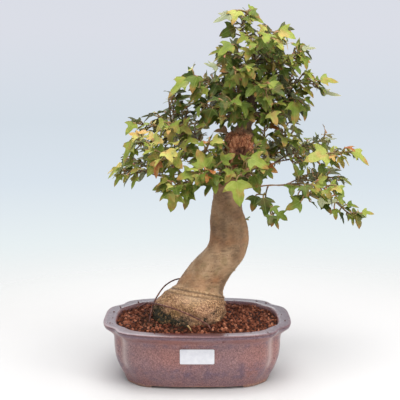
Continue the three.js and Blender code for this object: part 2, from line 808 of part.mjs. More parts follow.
function markWood(taken) {
  for (const row of TRUNK_RINGS.slice(COLLAR_RING)) {
    const [leftX, leftZ, rightX, rightZ, frontY, backY] = row;
    const middle = new THREE.Vector3((leftX + rightX) / 2, (frontY + backY) / 2, (leftZ + rightZ) / 2);
    taken.add(middle, (rightX - leftX + backY - frontY) / 4 + 1.5, 'wood');
  }
  const limbs = [[LEADER, LEADER_RADII], ...BRANCHES.map((branch) => [
    branch.wood, taper(branch.wood.length, branch.radii)])];
  for (const [path, radii] of limbs) {
    for (let index = 1; index < path.length; index += 1) {
      const start = point(path[index - 1]);
      const end = point(path[index]);
      const steps = Math.ceil(start.distanceTo(end) / 4);
      for (let step = 0; step <= steps; step += 1) {
        const share = step / steps;
        taken.add(start.clone().lerp(end, share), blend(radii[index - 1], radii[index], share) + 1, 'wood');
      }
    }
  }
}

// A leaf: where its stalk leaves the stem, where its blade starts, which way the midrib runs, which
// way the upper face looks, its length and how far its side lobes sweep forward
function leafFrame(root, base, midrib, upper, length, sweepForward) {
  const along = midrib.clone().normalize();
  const normal = upper.clone().addScaledVector(along, -upper.dot(along)).normalize();
  const across = along.clone().cross(normal);
  return { root, base, along, across, normal, length, sweepForward };
}

function leafPoint(leaf, across, along, lift) {
  return leaf.base.clone()
    .addScaledVector(leaf.across, across * leaf.length)
    .addScaledVector(leaf.along, along * leaf.length)
    .addScaledVector(leaf.normal, lift * leaf.length);
}

function leafSpots(leaf) {
  return BLADE_SPOTS.map(([across, along, lift]) => leafPoint(leaf, across, along, lift));
}

function stalkSpots(leaf) {
  return [0.25, 0.45, 0.65, 0.85].map((share) => leaf.root.clone().lerp(leaf.base, share));
}

function claimLeaf(taken, leaf, name, owner) {
  leafSpots(leaf).forEach((place) => taken.add(place, SPOT_RADIUS * leaf.length, `${name}.${owner}`));
  stalkSpots(leaf).forEach((place) => taken.add(place, STALK_SPOT, name));
}

function leafFits(taken, leaf, name) {
  const radius = SPOT_RADIUS * leaf.length;
  return leafSpots(leaf).every((place) => taken.isFree(place, radius, null))
    && stalkSpots(leaf).every((place) => taken.isFree(place, STALK_SPOT, name));
}

// Outward from the middle of the tree at this height, level
function outwardFrom(place) {
  const axis = new THREE.Vector3(55, 0, place.z);
  return place.clone().sub(axis).normalize();
}

// Directions in which the four sides of a stem face at one of its nodes, then the way it grows
function sideDirections(node) {
  const over = node.along.clone().cross(node.across);
  return [node.across.clone(), over, node.across.clone().negate(), over.clone().negate(), node.along];
}

// A leaf chosen by hand from its base and tip, on a stalk from the free side of the stem that
// leads to it most directly
function placedLeaf(nodes, [base, tip]) {
  const start = point(base);
  const midrib = point(tip).sub(start);
  const behind = start.clone().addScaledVector(midrib, -0.4);
  let best = null;
  nodes.slice(1).forEach((node) => {
    const stalk = start.clone().sub(node.place).normalize();
    sideDirections(node).forEach((direction, side) => {
      const isEnd = side === END_SIDE;
      const backFold = Math.max(0, 0.5 - stalk.dot(midrib) / midrib.length());
      const cost = node.place.distanceTo(behind) + 20 * (1 - stalk.dot(direction)) + 60 * backFold;
      const open = !node.used.has(side) && (!isEnd || node === nodes[nodes.length - 1]);
      if (open && (best === null || cost < best.cost)) {
        best = { node, side, cost };
      }
    });
  });
  best.node.used.add(best.side);
  const upper = outwardFrom(start).multiplyScalar(0.5).add(new THREE.Vector3(0, -0.7, 0.6));
  const leaf = leafFrame(best.node.place, start, midrib, upper, midrib.length(), 0.5);
  return { ...leaf, node: best.node, side: best.side };
}

// A leaf grown by the rule: its stalk comes out of one side of the stem and leans forward, and the
// blade hangs outward with its upper face to the light
function grownLeaf(node, side, turn, size, random) {
  const over = node.along.clone().cross(node.across);
  const wobble = turn + 0.7 * (random() - 0.5);
  const forward = side === END_SIDE ? 1.6 : 0.55;
  const stalk = node.along.clone().multiplyScalar(forward)
    .addScaledVector(node.across, Math.cos(wobble))
    .addScaledVector(over, Math.sin(wobble))
    .addScaledVector(UP, 0.25)
    .normalize();
  const base = node.place.clone().addScaledVector(stalk, size * (0.3 + 0.3 * random()));
  const outward = outwardFrom(base);
  const towardFront = THREE.MathUtils.clamp(0.5 - base.y / 80, 0, 1);
  const upper = new THREE.Vector3(random() - 0.5, random() - 0.5 - 0.7 * towardFront, random() + 0.35)
    .addScaledVector(outward, 0.5)
    .normalize();
  const midrib = stalk.clone().multiplyScalar(0.8)
    .addScaledVector(outward, 0.35)
    .addScaledVector(UP, -0.35 - 0.4 * random());
  midrib.addScaledVector(upper, -midrib.dot(upper)).normalize();
  const length = size * (0.82 + 0.32 * random());
  const leaf = leafFrame(node.place, base, midrib, upper, length, random());
  const reaches = stalk.dot(sideDirections(node)[side]) > LEAST_STALK_LEAN;
  return reaches && stalk.dot(midrib) > MOST_STALK_BEND ? { ...leaf, node, side } : null;
}

// All leaves of all sprays: first the ones chosen by hand, then opposite pairs at every node, each
// pair a quarter turn on from the last, and one leaf at the end. A leaf that finds no free place
// after a few tries is left out.
function growLeaves() {
  const random = seededRandom(4);
  const taken = new Taken();
  markWood(taken);
  const sprays = BRANCHES.map((branch) => ({ branch, nodes: stemNodes(branch), leaves: [] }));
  for (const { branch, nodes } of sprays) {
    for (let index = 1; index < nodes.length; index += 1) {
      for (let step = 0; step < 4; step += 1) {
        const place = nodes[index - 1].place.clone().lerp(nodes[index].place, step / 4);
        taken.add(place, STEM_SPOT, branch.name);
      }
    }
  }
  for (const { branch, nodes, leaves } of sprays) {
    for (const ends of branch.placed ?? []) {
      const leaf = placedLeaf(nodes, ends);
      claimLeaf(taken, leaf, branch.name, leaves.length);
      leaves.push(leaf);
    }
  }
  for (let order = 1; order < 12; order += 1) {
    for (const { branch, nodes, leaves } of sprays) {
      const index = nodes.length - order;
      if (index >= 1) {
        const firstSide = index % 2;
        const sides = order === 1 ? [firstSide, firstSide + 2, END_SIDE] : [firstSide, firstSide + 2];
        for (const side of sides) {
          const size = branch.leaf * (order === 1 ? 0.8 : 1);
          const leaf = tryLeaf(taken, branch, nodes[index], side, size, random);
          if (leaf !== null) {
            claimLeaf(taken, leaf, branch.name, leaves.length);
            leaves.push(leaf);
          }
        }
      }
    }
  }
  return sprays;
}

function tryLeaf(taken, branch, node, side, size, random) {
  if (node.used.has(side)) {
    return null;
  }
  for (let attempt = 0; attempt < TRIES; attempt += 1) {
    const lean = 0.12 * attempt * (attempt % 2 === 0 ? 1 : -1);
    const turn = (side * Math.PI) / 2 + lean;
    const leaf = grownLeaf(node, side, turn, size * (1 - 0.05 * attempt), random);
    if (leaf !== null && leafFits(taken, leaf, branch.name)) {
      node.used.add(side);
      return leaf;
    }
  }
  return null;
}

// Adds the blade of a leaf to a mesh and returns the three corners of its open base. Both faces are
// split alike, in a fan from the base, so the fold along the midrib and the drooping tip keep an
// even thickness.
function addBlade(mesh, leaf) {
  const halfStalk = STALK_WIDTH / 2 / leaf.length;
  const half = halfBlade(leaf);
  const outline = [
    [halfStalk, 0, 0], ...half, [0, 1, TIP_DROOP],
    ...half.map(([across, along, lift]) => [-across, along, lift]).reverse(), [-halfStalk, 0, 0],
  ];
  const first = mesh.points.length;
  const upper = outline.map(([across, along, lift]) => leafPoint(leaf, across, along, lift));
  const lower = upper.slice(1, -1).map(
    (place) => place.clone().addScaledVector(leaf.normal, -BLADE_THICKNESS),
  );
  mesh.points.push(...upper, ...lower, leaf.base.clone().addScaledVector(leaf.normal, -STALK_WIDTH));
  const last = outline.length - 1;
  const tip = last / 2;
  const under = mesh.points.length - 1;
  const top = (index) => first + index;
  const below = (index) => (index === 0 || index === last ? under : first + last + index);
  mesh.triangles.push([top(0), top(tip), top(last)]);
  for (let index = 0; index < tip; index += 1) {
    const mirror = last - index;
    const near = index === 0;
    if (!near) {
      mesh.triangles.push([top(0), top(index), top(index + 1)]);
      mesh.triangles.push([top(last), top(mirror - 1), top(mirror)]);
      mesh.triangles.push([under, below(index + 1), below(index)]);
      mesh.triangles.push([under, below(mirror), below(mirror - 1)]);
    }
    mesh.triangles.push([top(index), below(index), below(index + 1)]);
    mesh.triangles.push([top(index), below(index + 1), top(index + 1)]);
    mesh.triangles.push([top(mirror - 1), below(mirror - 1), below(mirror)]);
    mesh.triangles.push([top(mirror - 1), below(mirror), top(mirror)]);
  }
  return [top(0), under, top(last)];
}

// Right half of a blade from base to tip, its side lobe swept forward by the leaf's own share.
// Small leaves are simpler.
function halfBlade(leaf) {
  const forward = 0.16 * (leaf.sweepForward - 0.5);
  let half = HALF_BLADE;
  if (leaf.length < LARGE_LEAF) {
    half = HALF_BLADE.slice(1);
  }
  if (leaf.length < SMALL_LEAF) {
    half = HALF_BLADE.slice(1, 3);
  }
  return half.map(([across, along, lift]) => [across, along + (across > 0.4 ? forward : 0), lift]);
}

// Skin round a stalk between two loops of points that run the same way round it. Each loop is
// followed by the angle of its points about the stalk, so that the skin has no twist.
function stitch(mesh, from, to, stalk) {
  const start = sideways(stalk);
  const quarterOn = stalk.clone().cross(start);
  const around = (loop) => {
    const middle = loop.reduce((sum, index) => sum.add(mesh.points[index]), new THREE.Vector3())
      .divideScalar(loop.length);
    const stops = loop.map((index) => {
      const spoke = mesh.points[index].clone().sub(middle);
      return { index, turn: Math.atan2(spoke.dot(quarterOn), spoke.dot(start)) };
    });
    stops.sort((one, other) => one.turn - other.turn);
    return [...stops, { index: stops[0].index, turn: stops[0].turn + FULL_TURN }];
  };
  const near = around(from);
  const far = around(to);
  let i = 0;
  let j = 0;
  while (i < near.length - 1 || j < far.length - 1) {
    const nearTurn = i < near.length - 1 ? near[i].turn + near[i + 1].turn : Infinity;
    const farTurn = j < far.length - 1 ? far[j].turn + far[j + 1].turn : Infinity;
    if (nearTurn < farTurn) {
      mesh.triangles.push([near[i].index, near[i + 1].index, far[j].index]);
      i += 1;
    } else {
      mesh.triangles.push([near[i].index, far[j + 1].index, far[j].index]);
      j += 1;
    }
  }
}

// One spray as one body: a square stem, a hair clear of the twig it goes on from, whose sides at
// each node are open where a leaf grows and run on into the stalk of that leaf
function makeSpray({ branch, nodes, leaves }) {
  const mesh = { points: [], triangles: [] };
  const rings = [];
  const addRing = (place, node, radius) => {
    const over = node.along.clone().cross(node.across);
    rings.push([0, 1, 2, 3].map((side) => {
      const turn = (side - 0.5) * (Math.PI / 2);
      mesh.points.push(place.clone()
        .addScaledVector(node.across, radius * Math.cos(turn))
        .addScaledVector(over, radius * Math.sin(turn)));
      return mesh.points.length - 1;
    }));
  };
  const radii = taper(nodes.length, [branch.radii[1], STEM_TIP_RADIUS]);
  addRing(nodes[0].place.clone().addScaledVector(nodes[0].along, CLEARANCE), nodes[0], radii[0]);
  nodes.slice(1).forEach((node, index) => {
    for (const shift of [-NODE_HALF_LENGTH, NODE_HALF_LENGTH]) {
      addRing(node.place.clone().addScaledVector(node.along, shift), node, radii[index + 1]);
    }
  });
  const openings = new Map(leaves.map((leaf) => {
    const before = 2 * nodes.indexOf(leaf.node) - 1;
    return [`${before} ${leaf.side}`, leaf];
  }));
  mesh.triangles.push([rings[0][0], rings[0][2], rings[0][1]], [rings[0][0], rings[0][3], rings[0][2]]);
  for (let ring = 0; ring < rings.length; ring += 1) {
    const isEnd = ring === rings.length - 1;
    const loops = isEnd ? [rings[ring]] : [0, 1, 2, 3].map((side) => [
      rings[ring][side], rings[ring][(side + 1) % 4],
      rings[ring + 1][(side + 1) % 4], rings[ring + 1][side]]);
    loops.forEach((loop, side) => {
      const leaf = openings.get(isEnd ? `${ring - 1} ${END_SIDE}` : `${ring} ${side}`);
      if (leaf === undefined) {
        mesh.triangles.push([loop[0], loop[1], loop[2]], [loop[0], loop[2], loop[3]]);
      } else {
        stitch(mesh, loop, addBlade(mesh, leaf), leaf.base.clone().sub(leaf.root).normalize());
      }
    });
  }
  return closedGeometry(mesh.points, mesh.triangles);
}

function addMesh(group, name, geometry, colour, roughness, metalness) {
  const material = new THREE.MeshStandardMaterial({ color: colour, roughness, metalness });
  const mesh = new THREE.Mesh(geometry, material);
  mesh.name = name;
  group.add(mesh);
}

const tree = new THREE.Group();
tree.name = 'trident_maple_bonsai';

addMesh(tree, 'pot', makePot(), COLOURS.glaze, 0.25, 0);
addMesh(tree, 'drain_screen_left', makeScreen(-DRAIN_HOLE_X), COLOURS.screen, 0.7, 0);
addMesh(tree, 'drain_screen_right', makeScreen(DRAIN_HOLE_X), COLOURS.screen, 0.7, 0);
addMesh(tree, 'label', makeLabel(), COLOURS.label, 0.6, 0);
const wireRoom = Object.values(WIRES).map((route) => toSolid(
  wireGeometry(route, WIRE_DIAMETER + 2 * CLEARANCE + 0.2),
));
addMesh(tree, 'soil', makeSoil(wireRoom), COLOURS.soil, 0.95, 0);
addMesh(tree, 'trunk', makeTrunk(), COLOURS.bark, 0.85, 0);
for (const [name, route] of Object.entries(WIRES)) {
  addMesh(tree, name, wireGeometry(route, WIRE_DIAMETER), COLOURS.wire, 0.45, 0.8);
}
growLeaves().forEach((spray, index) => {
  const colour = COLOURS.leaf[index % COLOURS.leaf.length];
  addMesh(tree, `spray_${spray.branch.name}`, makeSpray(spray), colour, 0.6, 0);
});

// The middle of the footprint of the whole box becomes the origin
const box = new THREE.Box3().setFromObject(tree);
const middle = box.getCenter(new THREE.Vector3());
tree.position.set(-middle.x, -middle.y, -box.min.z);
tree.updateMatrixWorld(true);

export default tree;
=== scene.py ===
# %% [markdown]
# # A trident maple bonsai in its glazed pot
# The tree stands at the left of its pot on a swollen corky burr, leans to the right and carries
# layers of small three-lobed leaves. The construction model holds every piece at its real size, so
# this lesson replaces each with a finer one that keeps its form, and adds what is too small for it:
# grains of soil, moss, bark, leaf veins, small shoots and the play of colour. Loading that model as
# the frame comes first, because every later piece is placed by its numbers.

# %% The frame
import json
import math

import bmesh
import bpy
import numpy as np
from mathutils import Matrix, Vector, noise
from mathutils.geometry import delaunay_2d_cdt

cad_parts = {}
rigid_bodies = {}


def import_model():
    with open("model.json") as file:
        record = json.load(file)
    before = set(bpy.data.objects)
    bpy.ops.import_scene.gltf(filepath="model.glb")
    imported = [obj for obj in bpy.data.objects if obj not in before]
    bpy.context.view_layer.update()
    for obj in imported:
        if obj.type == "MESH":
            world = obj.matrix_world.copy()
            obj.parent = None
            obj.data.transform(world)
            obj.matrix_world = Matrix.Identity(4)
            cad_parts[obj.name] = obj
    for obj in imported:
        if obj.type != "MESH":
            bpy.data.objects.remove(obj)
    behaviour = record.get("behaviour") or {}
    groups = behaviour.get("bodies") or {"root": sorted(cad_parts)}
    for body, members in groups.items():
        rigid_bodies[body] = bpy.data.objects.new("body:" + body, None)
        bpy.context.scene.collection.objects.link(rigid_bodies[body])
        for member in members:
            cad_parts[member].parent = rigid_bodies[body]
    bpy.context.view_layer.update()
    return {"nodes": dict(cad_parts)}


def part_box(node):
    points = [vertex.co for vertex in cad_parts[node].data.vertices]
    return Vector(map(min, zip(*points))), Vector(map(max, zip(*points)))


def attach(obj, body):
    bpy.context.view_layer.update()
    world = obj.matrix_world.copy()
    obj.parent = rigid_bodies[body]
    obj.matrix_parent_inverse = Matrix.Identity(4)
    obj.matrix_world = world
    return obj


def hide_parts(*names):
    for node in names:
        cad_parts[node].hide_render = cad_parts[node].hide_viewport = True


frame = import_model()
BODY = "root"
pot_low, pot_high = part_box("pot")
# All sizes below are millimetres measured from the middle of the pot, with its feet at height 0
HOME = np.array([(pot_low.x + pot_high.x) / 2, (pot_low.y + pot_high.y) / 2, 0.0])
print("pot", [round(side * 1000) for side in pot_high - pot_low], "mm,", len(frame["nodes"]), "solids")


def to_metres(points):
    """Drawn millimetres to metres in the frame of the construction model."""
    return np.asarray(points, float).reshape(-1, 3) / 1000 + HOME


def cubic(start, gap, leaving, arriving, t):
    """A point on the smooth curve over a gap, with the slopes at its two ends."""
    return start + t * (leaving + t * (3 * gap - 2 * leaving - arriving + t * (leaving + arriving - 2 * gap)))


def along_path(rows, steps):
    """Smooth rows of numbers: a curve through every given row, with that many steps between two."""
    rows = np.asarray(rows, float)
    before = np.vstack([2 * rows[0] - rows[1], rows[:-1]])
    after = np.vstack([rows[1:], 2 * rows[-1] - rows[-2]])
    slope = (after - before) / 2
    curve = [cubic(rows[index], rows[index + 1] - rows[index], slope[index], slope[index + 1], t)
             for index in range(len(rows) - 1) for t in np.arange(steps) / steps]
    return np.array([*curve, rows[-1]])


def dice(seed):
    """Repeatable numbers from 0 to 1."""
    state = seed
    while True:
        state = (state * 1664525 + 1013904223) % 4294967296
        yield state / 4294967296


def as_object(name, data):
    """An object with this mesh, light or camera, placed in the scene."""
    made = bpy.data.objects.new(name, data)
    bpy.context.scene.collection.objects.link(made)
    return made


# %% [markdown]
# ## Camera, floor and light
# The photograph was taken with a longish lens from a little above the rim, so the far edge of the
# pot shows. The distance and the tilt were worked out from the ellipse of the rim. The floor is a
# plain pale disc that fades out into the sky, which keeps any horizon line out of the picture. A
# large soft light hangs over the front, two tall ones at the sides draw upright reflections on the
# glaze, and one behind lights the edges of the crown.

# %% Camera
CAMERA_DISTANCE = 1.100
CAMERA_HEIGHT = 0.405
CAMERA_SIDE = 0.0037
CAMERA_DOWN = math.radians(8.62)
FOCAL_PIXELS = 835
PHOTO_WIDTH = 400
SENSOR_WIDTH = 36

camera_data = bpy.data.cameras.new("camera")
camera_data.sensor_width = SENSOR_WIDTH
camera_data.lens = SENSOR_WIDTH * FOCAL_PIXELS / PHOTO_WIDTH
camera = as_object("camera", camera_data)
camera.location = Vector(HOME) + Vector((CAMERA_SIDE, -CAMERA_DISTANCE, CAMERA_HEIGHT))
camera.rotation_euler = (math.pi / 2 - CAMERA_DOWN, 0, 0)
bpy.context.scene.camera = camera
bpy.context.scene.view_settings.view_transform = "Standard"
print("lens", round(camera_data.lens, 1), "mm")


# %% [markdown]
# A finish is a Principled shader with a few procedural layers in front of it. All of them read
# Object coordinates or values stored on the surface, so they stay put from any side. The helpers
# below keep each finish to a few readable lines, and colours are given as seen on screen, 0 to 255.

# %% Finishes
def tone(red, green, blue):
    """A colour as seen on screen as the linear colour that a shader wants."""
    return (*((channel / 255) ** 2.2 for channel in (red, green, blue)), 1)


class Graph:
    """A node tree and the few words that build it."""
    family = "ShaderNode"

    def add(self, kind, inputs=None, **settings):
        node = self.tree.nodes.new(kind if "Node" in kind else self.family + kind)
        for key, value in settings.items():
            setattr(node, key, value)
        for key, value in (inputs or {}).items():
            self.feed(node.inputs[key], value)
        return node

    def feed(self, socket, value):
        """Links another node's output, or sets a constant."""
        if isinstance(value, bpy.types.NodeSocket):
            self.tree.links.new(value, socket)
        else:
            is_colour = isinstance(value, tuple) and socket.type == "RGBA"
            socket.default_value = tone(*value) if is_colour else value

    def maths(self, operation, one, other=0.0):
        return self.add("ShaderNodeMath", {0: one, 1: other}, operation=operation).outputs[0]

    def times(self, one, other):
        return self.maths("MULTIPLY", one, other)

    def ramp(self, value, stops):
        """Colours along a band; each stop is a position and a colour."""
        node = self.add("ValToRGB", {"Fac": value})
        band = node.color_ramp.elements
        while len(band) < len(stops):
            band.new(0.5)
        for element, (position, *colour) in zip(band, stops):
            element.position = position
            element.color = tone(*colour)
        return node.outputs["Color"]


class Finish(Graph):
    """A surface finish: one Principled shader and the layers that feed it."""

    def __init__(self, name, **constants):
        self.material = bpy.data.materials.new(name)
        self.material.use_nodes = True
        self.tree = self.material.node_tree
        self.shader = self.tree.nodes["Principled BSDF"]
        self.place = self.add("TexCoord").outputs["Object"]
        for socket, value in constants.items():
            self.shader.inputs[socket.replace("_", " ")].default_value = value

    def grain(self, size_mm, detail=3, roughness=0.55, stretch=None):
        """Cloudy noise whose blotches measure about size_mm."""
        where = self.place
        if stretch is not None:
            where = self.add("Mapping", {"Vector": where, "Scale": stretch}).outputs[0]
        return self.add("TexNoise", {"Vector": where, "Scale": 1000 / size_mm, "Detail": detail,
                                     "Roughness": roughness}).outputs["Fac"]

    def cells(self, size_mm):
        """Distance to the nearest of scattered middles, about size_mm apart."""
        return self.add("TexVoronoi", {"Vector": self.place, "Scale": 1000 / size_mm}).outputs["Distance"]

    def stored(self, name, share=None):
        """A value stored on the surface, or a share of it."""
        value = self.add("Attribute", attribute_name=name).outputs["Fac"]
        return value if share is None else self.times(value, share)

    def length(self, vector):
        return self.add("VectorMath", {0: vector}, operation="LENGTH").outputs["Value"]

    def between(self, value, low, high, out_low=0.0, out_high=1.0):
        return self.add("MapRange", {"Value": value, "From Min": low, "From Max": high, "To Min": out_low,
                                     "To Max": out_high}, interpolation_type="SMOOTHSTEP").outputs["Result"]

    def coats(self, under, *layers):
        """Colours laid over one another, each by its share."""
        for share, over in layers:
            under = self.add("Mix", {0: share, 6: under, 7: over}, data_type="RGBA").outputs[2]
        return under

    def colour(self, value):
        self.feed(self.shader.inputs["Base Color"], value)

    def roughness(self, value):
        self.feed(self.shader.inputs["Roughness"], value)

    def relief(self, *layers):
        """Bump from layers of (height, depth in mm)."""
        normal = None
        for height, depth_mm in layers:
            node = self.add("Bump", {"Height": height, "Distance": depth_mm / 1000, "Strength": 1.0})
            if normal is not None:
                self.feed(node.inputs["Normal"], normal)
            normal = node.outputs["Normal"]
        self.feed(self.shader.inputs["Normal"], normal)

    def mixed_with(self, other, share):
        """Another shader takes this share of the surface."""
        mixed = self.add("MixShader", {0: share, 1: self.shader.outputs[0], 2: other.outputs[0]})
        self.feed(self.tree.nodes["Material Output"].inputs["Surface"], mixed.outputs[0])


# %% Floor and sky
FLOOR_RADIUS = 1.6
FLOOR_SIDES = 96
FLOOR_DROP = 0.0004
SKY_STOPS = [(0.0, 250, 248, 245), (0.026, 246, 246, 244), (0.079, 232, 240, 242), (0.134, 217, 227, 236),
             (0.188, 211, 220, 229), (0.269, 218, 221, 230), (0.38, 216, 219, 228), (0.6, 180, 183, 192),
             (1.0, 160, 164, 174)]

floor_finish = Finish("pale_floor", Roughness=0.9)
floor_finish.colour((204, 202, 199))
fading = floor_finish.between(floor_finish.length(floor_finish.place), 0.18, 0.95)
floor_finish.mixed_with(floor_finish.add("BsdfTransparent"), fading)

floor_mesh = bpy.data.meshes.new("floor")
turns = np.linspace(0, 2 * np.pi, FLOOR_SIDES + 1)[:-1]
rim_of_floor = [(FLOOR_RADIUS * math.cos(t), FLOOR_RADIUS * math.sin(t), -FLOOR_DROP) for t in turns]
floor_mesh.from_pydata(rim_of_floor, [], [list(range(FLOOR_SIDES))])
floor_mesh.materials.append(floor_finish.material)
floor = as_object("floor", floor_mesh)

world = bpy.data.worlds.new("studio_sky")
world.use_nodes = True
bpy.context.scene.world = world
sky = Graph()
sky.tree = world.node_tree
upward = sky.add("SeparateXYZ", {0: sky.add("TexCoord").outputs["Generated"]}).outputs["Z"]
height_seen = sky.add("MapRange", {"Value": upward, "From Min": -0.30}).outputs[0]
background = sky.tree.nodes["Background"]
sky.feed(background.inputs["Color"], sky.ramp(height_seen, SKY_STOPS))
background.inputs["Strength"].default_value = 1.0
print("floor radius", FLOOR_RADIUS, "m")


# %% Soft lights
def soft_light(name, place, aim, size, power):
    """A rectangular studio light at place, turned to aim."""
    data = bpy.data.lights.new(name, "AREA")
    data.shape = "RECTANGLE"
    data.size, data.size_y = size
    data.energy = power
    light = as_object(name, data)
    light.location = place
    light.rotation_euler = (Vector(aim) - Vector(place)).to_track_quat("-Z", "Y").to_euler()
    light.visible_camera = False


MIDDLE = (0.0, 0.0, 0.24)
soft_light("top_light", (0.12, -0.42, 1.42), MIDDLE, (1.3, 1.0), 28)
soft_light("left_light", (-1.15, -0.75, 0.5), MIDDLE, (0.28, 1.1), 2)
soft_light("right_light", (1.1, -0.85, 0.5), MIDDLE, (0.28, 1.1), 7)
soft_light("back_light", (-0.3, 1.1, 1.0), MIDDLE, (1.1, 0.9), 9)


# %% [markdown]
# ## Turning rows of points into closed pieces
# The pot, the trunk and the soil are skins over a stack of closed rings. One helper makes such a
# skin with a point at each end, and others turn drawn millimetres into a finished piece that rides
# on the part's only body.

# %% Skins and pieces
def ring_skin(rings):
    """Points and faces of a closed skin over equal rings, drawn to a point at both ends."""
    rings = np.asarray(rings, float)
    count, sides, _ = rings.shape
    points = np.vstack([rings.reshape(-1, 3), rings[0].mean(0), rings[-1].mean(0)])
    side = np.arange(sides)
    on = (side + 1) % sides
    faces = []
    for row in range(count - 1):
        low, high = row * sides, (row + 1) * sides
        faces += np.stack([low + side, low + on, high + on, high + side], 1).tolist()
    first, last = count * sides, count * sides + 1
    top = (count - 1) * sides
    faces += np.stack([on, side, np.full(sides, first)], 1).tolist()
    faces += np.stack([top + side, top + on, np.full(sides, last)], 1).tolist()
    return points, faces


def store(mesh, name, values, kind="FLOAT", domain="POINT", field="value", as_type=np.float32):
    """Values on the mesh for a finish or a recipe to read."""
    mesh.attributes.new(name, kind, domain).data.foreach_set(field, np.ravel(values).astype(as_type))


def as_mesh(name, points, faces, finish, stored=None, smooth=True):
    """A mesh from drawn millimetres, with the values that its finish reads."""
    mesh = bpy.data.meshes.new(name)
    mesh.from_pydata(to_metres(points).tolist(), [], faces)
    for key, values in (stored or {}).items():
        store(mesh, key, values)
    mesh.polygons.foreach_set("use_smooth", [smooth] * len(mesh.polygons))
    if finish is not None:
        mesh.materials.append(finish.material)
    return mesh


def finished(piece, slot, *nodes):
    """The piece rides on the body and stands for these construction solids; the slot is not used."""
    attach(piece, BODY)
    if nodes:
        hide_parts(*nodes)
    print(piece.name, len(piece.data.polygons), "faces")
    return piece


def bake_modifiers(piece):
    """The piece's evaluated shape becomes its own plain mesh, and its modifiers go."""
    view = bpy.context.evaluated_depsgraph_get()
    shape = bpy.data.meshes.new_from_object(piece.evaluated_get(view), depsgraph=view)
    piece.modifiers.clear()
    piece.data = shape
    return piece


# %% [markdown]
# ## The pot
# This is a thrown or moulded stoneware pot, a squarish oval whose four corners are pinched in to a
# groove, with a broad flat rim and four low feet. Its plan is one curve, only inset and indented
# differently from height to height, so the pot is a skin over rings of that curve, from the
# underside up the wall, over the rim and down inside. Rings under the floor shape the feet, so only
# the two drainage holes are cut.

# %% Plan and profile of the pot
RIM_HALF_LENGTH = 125.5
RIM_HALF_WIDTH = 93
POT_HEIGHT = 79
FOOT_HEIGHT = 2.6
FOOT_SPAN_X = 60
FOOT_SPAN_Y = 34
DRAIN_HOLE_X = 45
DRAIN_HOLE_RADIUS = 10
PLAN_POWER = 3.1
CORNER_ANGLE = 28.5
CORNER_SPREAD = 6
# Height, inset from the outermost edge of the rim, depth of the corner indents
POT_OUTSIDE = [(0, 28, 1.5), (7, 26, 2), (20, 19.5, 3), (37, 14.5, 4), (61, 13, 5), (68, 8.5, 6), (73, 2.2, 7),
               (76, 0.4, 7), (78.4, 0, 7), (79, 0.9, 7)]
POT_INSIDE = [(79, 15, 3.5), (77.5, 16.5, 3.5), (45, 22, 2.5), (14, 31, 1.5), (10, 36, 1.5)]
PLAN_STEPS = 320


def smooth_step(value, low, high):
    t = np.clip((np.asarray(value, float) - low) / (high - low), 0, 1)
    return t * t * (3 - 2 * t)


def bell(value, middle, width, power=2):
    """1 at the middle, falling to nothing over about the width."""
    return np.exp(-(((value - middle) / width) ** power))


def cloud(places, size, octaves=1, seed=0):
    """Soft noise from -1 to 1 at each place, with blotches about this many millimetres across."""
    flat = places.reshape(-1, 3) / size + seed * 17.3
    values = [noise.fractal(Vector(spot), 0.9, 2.1, octaves) if octaves > 1 else noise.noise(Vector(spot))
              for spot in flat]
    return np.array(values).reshape(places.shape[:-1])


def folded_angle(turn):
    """Degrees from the long axis, the same for all four corners."""
    angle = np.degrees(turn) % 180
    return np.where(angle > 90, 180 - angle, angle)


def plan_radius(turn, inset, indent=7):
    """Distance from the middle of the pot to its plan curve, for a turn in radians."""
    along_x = np.abs(np.cos(turn)) / (RIM_HALF_LENGTH - inset)
    along_y = np.abs(np.sin(turn)) / (RIM_HALF_WIDTH - inset)
    oval = (along_x**PLAN_POWER + along_y**PLAN_POWER) ** (-1 / PLAN_POWER)
    return oval - indent * bell(folded_angle(turn), CORNER_ANGLE, CORNER_SPREAD)


def plan_ring(height, inset, indent, share=1.0, steps=PLAN_STEPS):
    turn = np.arange(steps) * 2 * np.pi / steps
    radius = plan_radius(turn, inset, indent) * share
    return np.stack([radius * np.cos(turn), radius * np.sin(turn), np.full(steps, float(height))], 1)


def wall_inside(height):
    """Height, inset and indent of the inner wall at a height."""
    rows = np.array(POT_INSIDE[::-1], float)
    return height, np.interp(height, rows[:, 0], rows[:, 1]), np.interp(height, rows[:, 0], rows[:, 2])


outside = along_path(POT_OUTSIDE, 6)
over_rim = [(79.15 - 0.003 * (inset - 7) ** 2, inset, 7 - 0.25 * inset)
            for inset in (2.4, 4.8, 7.2, 9.6, 12, 14)]
inside = [wall_inside(z) for z in (78.7, 78.2, 77.5, 74, 68, 60, 52, 45, 36, 25, 14, 12, 10)]
print("profile", len(outside) + len(over_rim) + len(inside), "rings")


# %% Underside with four feet
def underside_ring(share):
    """Ring under the floor: level with the feet's soles at the corners and higher between them."""
    ring = plan_ring(0, *POT_OUTSIDE[0][1:], share)
    foot = smooth_step(np.abs(ring[:, 0]), FOOT_SPAN_X - 1, FOOT_SPAN_X + 1)
    foot *= smooth_step(np.abs(ring[:, 1]), FOOT_SPAN_Y - 1, FOOT_SPAN_Y + 1)
    ring[:, 2] = FOOT_HEIGHT * (1 - foot)
    return ring


